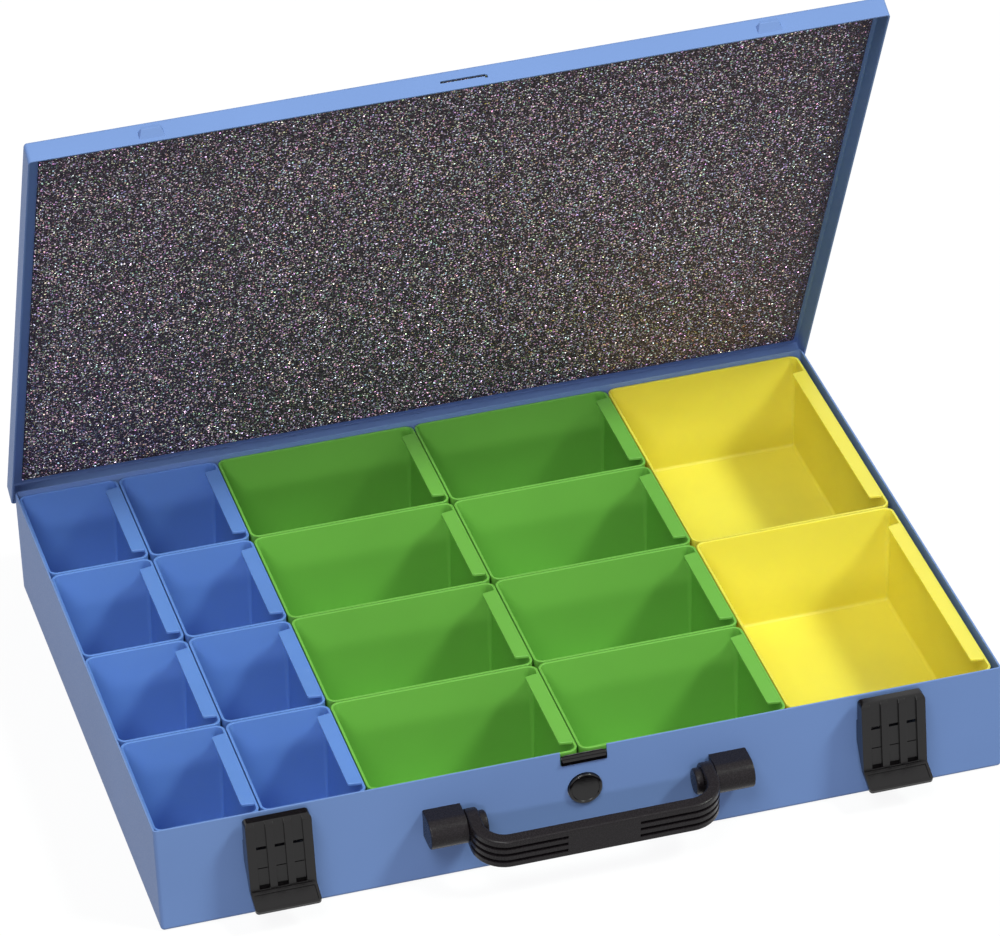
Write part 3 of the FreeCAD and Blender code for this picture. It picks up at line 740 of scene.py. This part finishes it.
def make_foam_pad():
    low_x = -lid_half_length + sheet + foam_left_margin
    high_x = lid_half_length - sheet - foam_right_margin
    low_y = -lid_half_depth + sheet + foam_front_margin
    high_y = lid_half_depth - sheet - foam_back_margin
    face_level = lid_inner_level - foam_thickness
    shape = bmesh.new()
    bmesh.ops.create_grid(shape, x_segments=foam_columns, y_segments=foam_rows, size=0.5)
    bmesh.ops.scale(shape, vec=(high_x - low_x, high_y - low_y, 1), verts=shape.verts)
    bmesh.ops.translate(shape, verts=shape.verts,
                        vec=((low_x + high_x) / 2, (low_y + high_y) / 2, face_level))
    border = [edge for edge in shape.edges if edge.is_boundary]
    for vert in shape.verts:
        edge_gap = min(vert.co.x - low_x, high_x - vert.co.x, vert.co.y - low_y,
                       high_y - vert.co.y)
        rest = max(0.0, 1.0 - edge_gap / (3 * foam_roll))
        wave = noise.noise(Vector((vert.co.x, vert.co.y, 0.0)) * foam_waves_per_metre)
        vert.co.z += foam_roll * rest * rest + foam_wave * (0.5 + 0.5 * wave)
    back = bmesh.ops.extrude_edge_only(shape, edges=border)["geom"]
    rim = picked(back, BMVert)
    for vert in rim:
        vert.co.z = lid_inner_level
    loop = [edge for edge in picked(back, BMEdge) if all(v in rim for v in edge.verts)]
    bmesh.ops.contextual_create(shape, geom=loop)
    tilt(shape, shape.verts, hinge_point, -open_angle)
    return to_object("foam_pad", shape)


foam_pad = make_foam_pad()
dress(foam_pad, "lid", "foam", "lid_foam_pad", smooth=50.0)

# %% [markdown]
# ## The bins
# Every bin is an injection-moulded tray: thin walls that taper towards the foot so that it leaves
# the mould, a small round all along the floor, corners that open up towards the rim, and a
# moulded ledge inside the right wall that lies level with the rim. One function draws all
# eighteen from the box of their CAD node, so each one sits exactly in its cell.

# %% Rings of a bin
bin_wall = 1.3 * mm
bin_floor = 1.5 * mm
bin_taper = 2.6 * mm
bin_corner = 5.0 * mm
bin_foot_corner = 2.5 * mm
bin_foot_round = bin_wall * 0.8
bin_rim_round = 0.22 * mm
bin_floor_round = 2.0 * mm
bin_tightest_corner = 0.6 * mm
bin_ring_steps = 8


def bin_rings(half_x, half_y, foot, rim):
    """Rings of a bin, from the middle of its underside over the rim to its floor."""
    def ring(reach, level):
        share = (rim - level) / (rim - foot)
        shrink = reach + bin_taper * share
        corner = bin_corner + (bin_foot_corner - bin_corner) * share
        return half_x - shrink, half_y - shrink, max(corner - reach, bin_tightest_corner), level

    rings = []
    for inwards, down in reversed(quarter(bin_foot_round, 3)):
        rings.append(ring(inwards, foot + down))
    for inwards, down in quarter(bin_rim_round, 3):
        rings.append(ring(inwards, rim - down))
    for inwards, down in reversed(quarter(bin_rim_round, 3)):
        rings.append(ring(bin_wall - inwards, rim - down))
    for inwards, down in quarter(bin_floor_round, 5):
        rings.append(ring(bin_wall + inwards, foot + bin_floor + down))
    return rings


print("bin wall", round(bin_wall / mm, 2), "mm, floor", round(bin_floor / mm, 2), "mm")


# %% Ledge of a bin
ledge_width = 6.6 * mm
ledge_thickness = 1.3 * mm
ledge_front_gaps = {"small": 6.5 * mm, "medium": 6.5 * mm, "large": 9.5 * mm}
ledge_rear_gaps = {"small": 6.5 * mm, "medium": 6.5 * mm, "large": 15.0 * mm}
ledge_end_slope = 1.4 * mm
ledge_corner = 0.9 * mm
ledge_round = 0.3 * mm
ledge_sink = 0.06 * mm


def ledge(shape, x_wall, x_edge, y0, y1, top):
    """The moulded ledge: a plate with slanting ends that runs into the wall."""
    middle = (x_edge + x_wall) / 2
    verts = block(shape, x_edge, x_wall, y0, y1, top - ledge_thickness, top)
    for vert in verts:
        if vert.co.x < middle:
            vert.co.y += ledge_end_slope if vert.co.y < (y0 + y1) / 2 else -ledge_end_slope
    upright = [edge for edge in shape.edges if edge.verts[0].co.x < middle
               and not close(edge.verts[0].co.z, edge.verts[1].co.z)]
    round_edges(shape, upright, ledge_corner, 4)
    tops = [edge for edge in shape.edges if all(close(v.co.z, top) for v in edge.verts)]
    round_edges(shape, tops, ledge_round, 2)


print("ledge", round(ledge_width / mm, 2), "mm wide")


# %% All bins
def make_bin(node):
    kind = node.split("_")[0]
    low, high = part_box(node)
    centre = ((low.x + high.x) / 2, (low.y + high.y) / 2)
    half_x = (high.x - low.x) / 2
    half_y = (high.y - low.y) / 2
    shape = bmesh.new()
    stack(shape, centre, bin_rings(half_x, half_y, low.z, high.z), bin_ring_steps)
    piece = to_object(node.replace("bin", "tray"), shape)
    shape = bmesh.new()
    ledge(shape, high.x - bin_wall / 2, high.x - bin_wall - ledge_width,
          low.y + bin_wall + ledge_front_gaps[kind], high.y - bin_wall - ledge_rear_gaps[kind],
          high.z - ledge_sink)
    carve(piece, shape, "UNION")
    dress(piece, node, bin_slots[kind], node, smooth=40.0)


bin_nodes = sorted(name for name in frame["nodes"] if "_bin_" in name)
for node in bin_nodes:
    make_bin(node)
print("bins", len(bin_nodes))

# %% [markdown]
# ## The latches
# A latch lever is a moulded hook: its nose reaches over the lid's lug, its long face has three
# sunk channels, and its lip flares out at the bottom for the thumb. Seen from the side the lever
# is one outline, so that outline is pulled out to a prism, and the channels, the small windows and
# pockets in them and the lip's field are carved out of it.

# %% Sizes of a latch
latch_half = (latch_high.x - latch_low.x) / 2
latch_depth = 9.5 * mm
latch_lean = 2.4 * mm
latch_face = 3.0 * mm
latch_sharp_angle = 42.0
latch_cheek = 2.2 * mm
latch_top_round = 3.0 * mm
latch_shoulder_round = 2.2 * mm
latch_nose_depth = 2.8 * mm
latch_nose_low = latch_top - latch_nose_height
latch_pivot = Vector(joints["latch_right_pivot"]["pos_m"])
lip_drop = 38.5 * mm
lip_start = latch_top - lip_drop
lip_reach = 10.5 * mm
lip_fall = 4.5 * mm
lip_length = math.hypot(lip_reach, lip_fall)
lip_thickness = 2.0 * mm
lip_corner = 1.8 * mm
lip_border = 1.5 * mm
lip_recess = 0.6 * mm
cheek_wall_gap = 1.0 * mm
cheek_shoulder_low = latch_pivot.z + 12.0 * mm
cheek_shoulder_high = cheek_shoulder_low + 1.8 * mm
channel_width = 5.4 * mm
channel_rib = 3.9 * mm
channel_recess = 1.6 * mm
channel_foot = lip_start + 1.2 * mm
pocket_side_gap = 0.15 * mm
foot_pocket_height = 1.5 * mm
foot_pocket_depth = 0.9 * mm
window_level = latch_top - 15.6 * mm
window_height = 1.6 * mm
step_level = latch_top - 26.5 * mm
step_height = 0.5 * mm
step_depth = 0.5 * mm


def latch_front(level):
    """How far out the lever's face stands at a level."""
    return latch_depth + latch_lean * (latch_top - level) / lip_drop


def lip_point(along, deep):
    """A point along the lip's upper face and under it, as (out, level)."""
    run_out = lip_reach / lip_length
    run_down = lip_fall / lip_length
    return (latch_front(lip_start) + along * run_out - deep * run_down,
            lip_start - along * run_down - deep * run_out)


latch_back = latch_front(lip_start) - latch_face
lip_tip = lip_point(lip_length, lip_thickness)
lip_underside = lip_tip[1] + (lip_tip[0] - latch_back) * lip_fall / lip_reach
print("latch width", round(2 * latch_half / mm, 1), "mm, lip", round(lip_length / mm, 1), "mm")

# %% Body of a latch
def side_prism(shape, outline, x0, x1):
    """A prism along X from an outline of (distance out from the front wall, level)."""
    prism(shape, [(front_wall - out, level) for out, level in outline], x0, x1)


def carve_side(obj, outline, x0, x1, operation="DIFFERENCE"):
    """Carves a side outline out of a piece between two places, or adds it."""
    shape = bmesh.new()
    side_prism(shape, outline, x0, x1)
    carve(obj, shape, operation)


def lengthwise(edge):
    """True for an edge that runs from front to back or up, and not along X."""
    return close(edge.verts[0].co.x, edge.verts[1].co.x)


def latch_body(name, x0, x1):
    """The lever's outer form, with its round crown, shoulders and lip corners."""
    shape = bmesh.new()
    side_prism(shape, [
        (latch_nose_depth, latch_nose_low), (latch_nose_depth, latch_top),
        (latch_depth, latch_top), (latch_front(lip_start), lip_start),
        lip_point(lip_length, 0), lip_tip, (latch_back, lip_underside),
        (cheek_wall_gap, latch_pivot.z), (cheek_wall_gap, cheek_shoulder_low),
        (latch_nose_depth, cheek_shoulder_high),
    ], x0, x1)
    crown = [edge for edge in shape.edges if all(
        close(v.co.z, latch_top) and close(v.co.y, front_wall - latch_depth)
        for v in edge.verts)]
    round_edges(shape, crown, latch_top_round, 8)
    lip_corners = [edge for edge in shape.edges if lengthwise(edge) and all(
        v.co.y < front_wall - lip_tip[0] + 5 * tolerance for v in edge.verts)]
    round_edges(shape, lip_corners, lip_corner, 5)
    lever = to_object(name, shape)
    shape = bmesh.new()
    block(shape, x0, x1, front_wall - lip_reach * 3, front_wall, lip_tip[1] - overrun, latch_top)
    shoulders = [edge for edge in shape.edges if lengthwise(edge)
                 and all(close(v.co.z, latch_top) for v in edge.verts)]
    round_edges(shape, shoulders, latch_shoulder_round, 6)
    carve(lever, shape, "INTERSECT")
    soften(lever, width=0.45 * mm, segments=3, angle=latch_sharp_angle)
    return lever


# %% Latch levers
def carve_face(lever, deep, low, high, x0, x1):
    """Sinks a field to a depth under the lever's leaning face between two levels."""
    carve_side(lever, [(latch_front(low) - deep, low), (latch_front(high) - deep, high),
                       (latch_depth + overrun, high), (latch_depth + overrun, low)], x0, x1)


def make_latch(side, centre):
    x0 = centre - latch_half
    x1 = centre + latch_half
    lever = latch_body("latch_" + side, x0, x1)
    nose_back = latch_front(latch_nose_low) - latch_face
    carve_side(lever, [(-overrun, latch_nose_low), (nose_back, latch_nose_low),
                       (latch_back, lip_start), (-overrun, lip_start)],
               x0 + latch_cheek, x1 - latch_cheek)
    middles = [centre + number * (channel_width + channel_rib) for number in (-1, 0, 1)]
    for middle in middles:
        carve_face(lever, channel_recess, channel_foot, latch_top + overrun,
                   middle - channel_width / 2, middle + channel_width / 2)
    carve_side(lever, [lip_point(lip_border, lip_recess), lip_point(lip_border, -overrun),
                       lip_point(lip_length - lip_border, -overrun),
                       lip_point(lip_length - lip_border, lip_recess)],
               x0 + lip_border, x1 - lip_border)
    soften(lever, width=0.28 * mm, segments=2, angle=latch_sharp_angle)
    pocket_half = channel_width / 2 - pocket_side_gap
    for middle in middles:
        for deep, low, height in (
            (latch_depth, window_level, window_height),
            (channel_recess + foot_pocket_depth, channel_foot, foot_pocket_height),
            (channel_recess + step_depth, step_level, step_height),
        ):
            carve_face(lever, deep, low, low + height, middle - pocket_half, middle + pocket_half)
    dress(lever, "latch_" + side, "black_plastic", "latch_lever_" + side, finish=black_smooth)


for side, centre in (("left", -latch_offset), ("right", latch_offset)):
    make_latch(side, centre)

# %% [markdown]
# ## The handle
# The handle is a flat strap bent to a U, with round ends on its pins. A strap is a section pulled
# along a path: straight arm, quarter bend, straight grip, quarter bend, straight arm. Extrude and
# spin do just that. The round ends are kept by cutting with a shape of the same outline, and
# three grooves are carved round the outside on both sides of the plain middle field.

# %% Strap
handle_pivot = Vector(joints["handle_swing"]["pos_m"])
handle_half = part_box("handle_grip")[1].x
handle_strip = 6.4 * mm
handle_height = 17.6 * mm
handle_corner = 17.0 * mm
handle_reach = 25.0 * mm
handle_droop = math.radians(10.0)
bend_steps = 14
arm_end_steps = 28


def bend(shape, face, x, y):
    """Spins a face a quarter turn about an upright line, and returns the face at the far end."""
    made = bmesh.ops.spin(shape, geom=[face, *face.edges, *face.verts],
                          cent=(x, y, handle_pivot.z), axis=(0, 0, 1), angle=math.pi / 2,
                          steps=bend_steps, use_merge=False,
                          use_duplicate=False)["geom_last"]
    return picked(made, BMFace)[0]


def strap(shape, grown, inner, low, high):
    """The handle's U, larger outside by a size, from there inwards and between two levels."""
    half = handle_half + grown
    corner = handle_corner + grown
    back = handle_pivot.y + handle_height
    turn = handle_pivot.y - handle_reach - grown + corner
    face = shape.faces.new([shape.verts.new((x, back, z)) for x, z in (
        (-half, low), (inner - half, low), (inner - half, high), (-half, high))])
    face = pull(shape, face, (0, turn - back, 0))
    face = bend(shape, face, corner - half, turn)
    face = pull(shape, face, (2 * (half - corner), 0, 0))
    face = bend(shape, face, half - corner, turn)
    pull(shape, face, (0, back - turn, 0))
    left_inside = [part for part in shape.faces
                   if all(len(edge.link_faces) > 2 for edge in part.edges)]
    bmesh.ops.delete(shape, geom=left_inside, context="FACES_ONLY")


def half_round(radius, start, turn, steps):
    """Points (y, z) of a half round about the handle's pivot line."""
    angles = [start + turn * step / steps for step in range(steps + 1)]
    return [(handle_pivot.y + radius * math.cos(angle), handle_pivot.z + radius * math.sin(angle))
            for angle in angles]


print("handle", round(2 * handle_half / mm, 1), "mm wide")

# %% Handle
groove_count = 3
groove_height = 2.0 * mm
groove_pitch = 4.4 * mm
groove_recess = 1.6 * mm
panel_half = 18.5 * mm


def handle_blank():
    """The strap with its round ends, before the grooves."""
    low = handle_pivot.z - handle_height / 2
    high = handle_pivot.z + handle_height / 2
    far_front = handle_pivot.y - handle_reach - overrun
    shape = bmesh.new()
    strap(shape, 0, handle_strip, low - overrun, high + overrun)
    grip = to_object("carrying_handle", shape)
    shape = bmesh.new()
    stadium = half_round(handle_height / 2, math.pi / 2, -math.pi, arm_end_steps)
    prism(shape, [*stadium, (far_front, low), (far_front, high)],
          -handle_half - overrun, handle_half + overrun)
    carve(grip, shape, "INTERSECT")
    soften(grip, width=1.0 * mm, segments=4, angle=50.0)
    return grip


def carve_groove(grip, level, side):
    """One groove round one end of the grip, from the middle field to the pin."""
    shape = bmesh.new()
    strap(shape, overrun, overrun + groove_recess, level - groove_height / 2,
          level + groove_height / 2)
    pin_side = handle_pivot.y - handle_height / 2
    for point, normal in (((panel_half, 0, 0), (-1, 0, 0)), ((0, pin_side, 0), (0, 1, 0))):
        bmesh.ops.bisect_plane(shape, geom=[*shape.verts, *shape.edges, *shape.faces],
                               plane_co=point, plane_no=normal, clear_outer=True)
        rim = [edge for edge in shape.edges if edge.is_boundary]
        bmesh.ops.contextual_create(shape, geom=rim)
    bmesh.ops.scale(shape, vec=(side, 1, 1), verts=shape.verts)
    carve(grip, shape)


grip = handle_blank()
for number in range(groove_count):
    level = handle_pivot.z + (number - (groove_count - 1) / 2) * groove_pitch
    for side in (-1, 1):
        carve_groove(grip, level, side)
soften(grip, width=0.3 * mm, segments=2, angle=60.0)
shape = bmesh.new()
shape.from_mesh(grip.data)
tilt(shape, shape.verts, handle_pivot, handle_droop)
shape.to_mesh(grip.data)
shape.free()
dress(grip, "handle", "black_plastic", "handle_grip", smooth=8.0)

# %% [markdown]
# ## Bosses and pins
# Each boss is a half-round block on the front wall, with a chamfer on its far end. The pin's head
# is a turned disc, so its profile is spun once round the pin's line.

# %% Bosses
boss_radius = 8.1 * mm
boss_chamfer = 0.8 * mm
boss_round = 0.3 * mm
boss_steps = 24


def make_boss(side):
    low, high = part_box("handle_boss_" + side)
    shape = bmesh.new()
    prism(shape, [(front_wall, handle_pivot.z - boss_radius),
                  (front_wall, handle_pivot.z + boss_radius),
                  *half_round(boss_radius, math.pi / 2, math.pi, boss_steps)],
          low.x, high.x)
    outer, inner = (low.x, high.x) if side == "left" else (high.x, low.x)
    for end, width in ((outer, boss_chamfer), (inner, boss_round)):
        rim = [edge for edge in shape.edges if all(close(v.co.x, end) for v in edge.verts)
               and not all(close(v.co.y, front_wall) for v in edge.verts)]
        round_edges(shape, rim, width, 2)
    boss = to_object("boss_" + side, shape)
    dress(boss, "case", "black_plastic", "handle_boss_" + side, smooth=40.0)


print("bosses", round(2 * boss_radius / mm, 2), "mm high")


# %% Pins
pin_head = 6.8 * mm
pin_shank = 2.6 * mm
pin_head_height = 3.6 * mm
pin_head_round = 1.2 * mm
pin_steps = 48


def make_pin(side):
    low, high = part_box("handle_pin_" + side)
    head_end, sign = (high.x, -1) if side == "left" else (low.x, 1)
    length = high.x - low.x
    profile = [(0, 0), (pin_head - pin_head_round, 0)]
    for inwards, down in reversed(quarter(pin_head_round, 5)):
        profile.append((pin_head - inwards, down))
    profile += [(pin_head, pin_head_height), (pin_shank, pin_head_height), (pin_shank, length),
                (0, length)]
    points = [(head_end + sign * along, handle_pivot.y, handle_pivot.z + reach)
              for reach, along in profile]
    pin = turned("pin_" + side, points, handle_pivot, (1, 0, 0), pin_steps)
    dress(pin, "case", "black_plastic", "handle_pin_" + side, smooth=40.0)


for side in ("left", "right"):
    make_boss(side)
    make_pin(side)

# %% [markdown]
# ## The lock
# A round button and a bevelled nose sit on one spring strip inside the front wall. The button is
# turned: flat rim, bevel, and a shallow dish for the fingertip. Its profile is spun round its
# middle line. The nose fills the notch in the rim and carries the tongue that enters the lid.

# %% Button
button_edge = 0.9 * mm
dish_radius = button_radius - 1.5 * mm
dish_depth = 0.45 * mm
dish_slope = 0.3 * mm
dish_brow = 0.1 * mm
dish_brow_depth = 0.15 * mm


def make_button():
    front = button_low.y
    length = front_wall + sheet - front
    profile = [(0, dish_depth), (dish_radius - dish_slope, dish_depth),
               (dish_radius - dish_brow, dish_brow_depth), (dish_radius, 0)]
    for inwards, down in reversed(quarter(button_edge, 4)):
        profile.append((button_radius - inwards, down))
    profile += [(button_radius, length), (0, length)]
    points = [(reach, front + along, button_level) for reach, along in profile]
    button = turned("push_button", points, (0, 0, button_level), (0, 1, 0),
                    button_steps)
    dress(button, "lock", "black_plastic", "lock_button", finish=black_smooth)


make_button()

# %% Nose
nose_reach = 0.8 * mm
tongue_low = rim_level - 5.05 * mm
tongue_high = tongue_low + 0.75 * mm
tongue_tip_high = tongue_low + 0.3 * mm
tongue_inset = 0.5 * mm


def make_nose():
    low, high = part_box("lock_nose")
    tip = front_wall - low.y
    shape = bmesh.new()
    side_prism(shape, [(-sheet, low.z), (-sheet, high.z), (0, high.z),
                       (nose_reach, high.z - nose_reach), (nose_reach, low.z)], low.x, high.x)
    nose = to_object("lock_nose_block", shape)
    carve_side(nose, [(0, tongue_low), (0, tongue_high), (nose_reach, tongue_high),
                      (tip, tongue_tip_high), (tip, tongue_low)],
               low.x + tongue_inset, high.x - tongue_inset, "UNION")
    soften(nose, width=0.2 * mm, segments=2, angle=30.0)
    dress(nose, "lock", "black_plastic", "lock_nose", finish=black_smooth)


make_nose()

# %% [markdown]
# ## Pieces that stay as CAD
# The hinge leaf, the rod, the rivets, the latch brackets with their pins and springs, and the
# lock's strip and clip have the right shape already. They keep their meshes and only get their
# finish, taken from the record's own list.

# %% Finishes of the CAD pieces
for part in frame["record"]["subparts"]:
    node = frame["nodes"][part["node"]]
    if not node.hide_render:
        node.data.materials.clear()
        node.data.materials.append(slot_materials[part["material_slot"]])
        print(node.name, part["material_slot"])

# %% [markdown]
# ## Floor, light and background
# The case stands on a plain white floor in a white studio. Floor and room are made twice over: a
# darker version gives the light, and a white one is what the camera sees, straight or in a
# reflection. Light Path tells the two apart, so the background is white without lighting the
# case, and the floor still keeps its soft shadow.

# %% Floor and room
floor_half = 6.0
floor_gap = 0.3 * mm
white = (1.0, 1.0, 1.0)


def coloured(tree, kind, colour, **strength):
    """A plain shader of one colour, and of a strength where it shines."""
    return add_node(tree, kind, {"Color": colour, **strength}).outputs[0]


def choose_by_ray(tree, kind, as_light, as_seen):
    """Ends a tree with one shader for the light and another for what the camera sees."""
    path = tree.nodes.new("ShaderNodeLightPath")
    seen = calculate(tree, "MAXIMUM", path.outputs["Is Camera Ray"], path.outputs["Is Glossy Ray"])
    seen = calculate(tree, "MAXIMUM", seen, path.outputs["Is Transmission Ray"])
    choice = add_node(tree, "MixShader", {"Fac": seen, 1: as_light, 2: as_seen})
    add_node(tree, "Output" + kind, {"Surface": choice.outputs["Shader"]})


def make_floor():
    shape = bmesh.new()
    bmesh.ops.create_grid(shape, x_segments=1, y_segments=1, size=floor_half)
    bmesh.ops.translate(shape, verts=shape.verts, vec=(0, 0, -floor_gap))
    floor = to_object("floor", shape)
    material = bpy.data.materials.new("studio_floor")
    material.use_nodes = True
    tree = material.node_tree
    tree.nodes.clear()
    both = add_node(tree, "AddShader", {0: coloured(tree, "BsdfDiffuse", (0.09, 0.09, 0.09)),
                                        1: coloured(tree, "Emission", white, Strength=0.91)})
    choose_by_ray(tree, "Material", coloured(tree, "BsdfDiffuse", (0.22, 0.22, 0.22)),
                  both.outputs["Shader"])
    floor.data.materials.append(material)
    print("floor", floor_half * 2, "m wide")


def make_room():
    world = bpy.data.worlds.new("studio")
    bpy.context.scene.world = world
    world.use_nodes = True
    tree = world.node_tree
    tree.nodes.clear()
    choose_by_ray(tree, "World", coloured(tree, "Background", (0.98, 0.93, 1.0), Strength=0.34),
                  coloured(tree, "Background", white))
    print("room", world.name)


make_floor()
make_room()

# %% [markdown]
# Three soft suns make the light. A low one from the front lights the front wall and the upper half
# of each bin's back wall. The strongest stands high on the right, and its shadows fall slanting
# over those walls. A wide one from the upper left softens them. Each has a faint tint, because the
# lamps of a real studio never quite agree.

# %% Lamps
def make_sun(name, towards, strength, spread, tint):
    """A lamp whose light comes from a direction, spread over some degrees of the sky."""
    lamp = bpy.data.lights.new(name, "SUN")
    lamp.energy = strength
    lamp.color = tint
    lamp.angle = math.radians(spread)
    sun = bpy.data.objects.new(name, lamp)
    bpy.context.scene.collection.objects.link(sun)
    sun.rotation_mode = "QUATERNION"
    sun.rotation_quaternion = Vector(towards).to_track_quat("Z", "Y")
    print(name, strength)


make_sun("front_light", (-0.17, -1.0, 0.27), strength=0.50, spread=6.0, tint=(1.0, 0.97, 1.0))
make_sun("side_light", (0.70, -0.42, 1.0), strength=2.1, spread=12.0, tint=(0.91, 1.0, 0.90))
make_sun("softbox", (-0.45, -0.75, 1.3), strength=1.70, spread=26.0, tint=(0.97, 1.0, 0.98))

# %% [markdown]
# ## The camera
# The picture was taken from far away with a long lens, a little from the left and about thirty
# degrees above. The camera's place and turn were worked out from the corners of the tray and the
# lid in the picture, whose size is named in pixels.

# %% Camera
picture_width = 1000
focal_pixels = 6402.0
sensor_width = 36.0
camera_place = Vector((-0.666, -2.672, 1.861))
camera_azimuth = math.radians(-14.11)
camera_elevation = math.radians(32.21)
camera_roll = math.radians(-2.82)


def make_camera():
    sideways = math.cos(camera_elevation)
    forward = Vector((-math.sin(camera_azimuth) * sideways,
                      math.cos(camera_azimuth) * sideways, -math.sin(camera_elevation)))
    right = Vector((math.cos(camera_azimuth), math.sin(camera_azimuth), 0))
    up = right.cross(forward)
    turned_right = math.cos(camera_roll) * right + math.sin(camera_roll) * up
    turned_up = -math.sin(camera_roll) * right + math.cos(camera_roll) * up
    data = bpy.data.cameras.new("camera")
    data.sensor_width = sensor_width
    data.lens = sensor_width * focal_pixels / picture_width
    camera = bpy.data.objects.new("camera", data)
    bpy.context.scene.collection.objects.link(camera)
    axes = Matrix((turned_right, turned_up, -forward)).transposed()
    camera.matrix_world = Matrix.Translation(camera_place) @ axes.to_4x4()
    bpy.context.scene.camera = camera
    print("lens", round(data.lens, 1))


make_camera()
bpy.context.scene.view_settings.view_transform = "Standard"
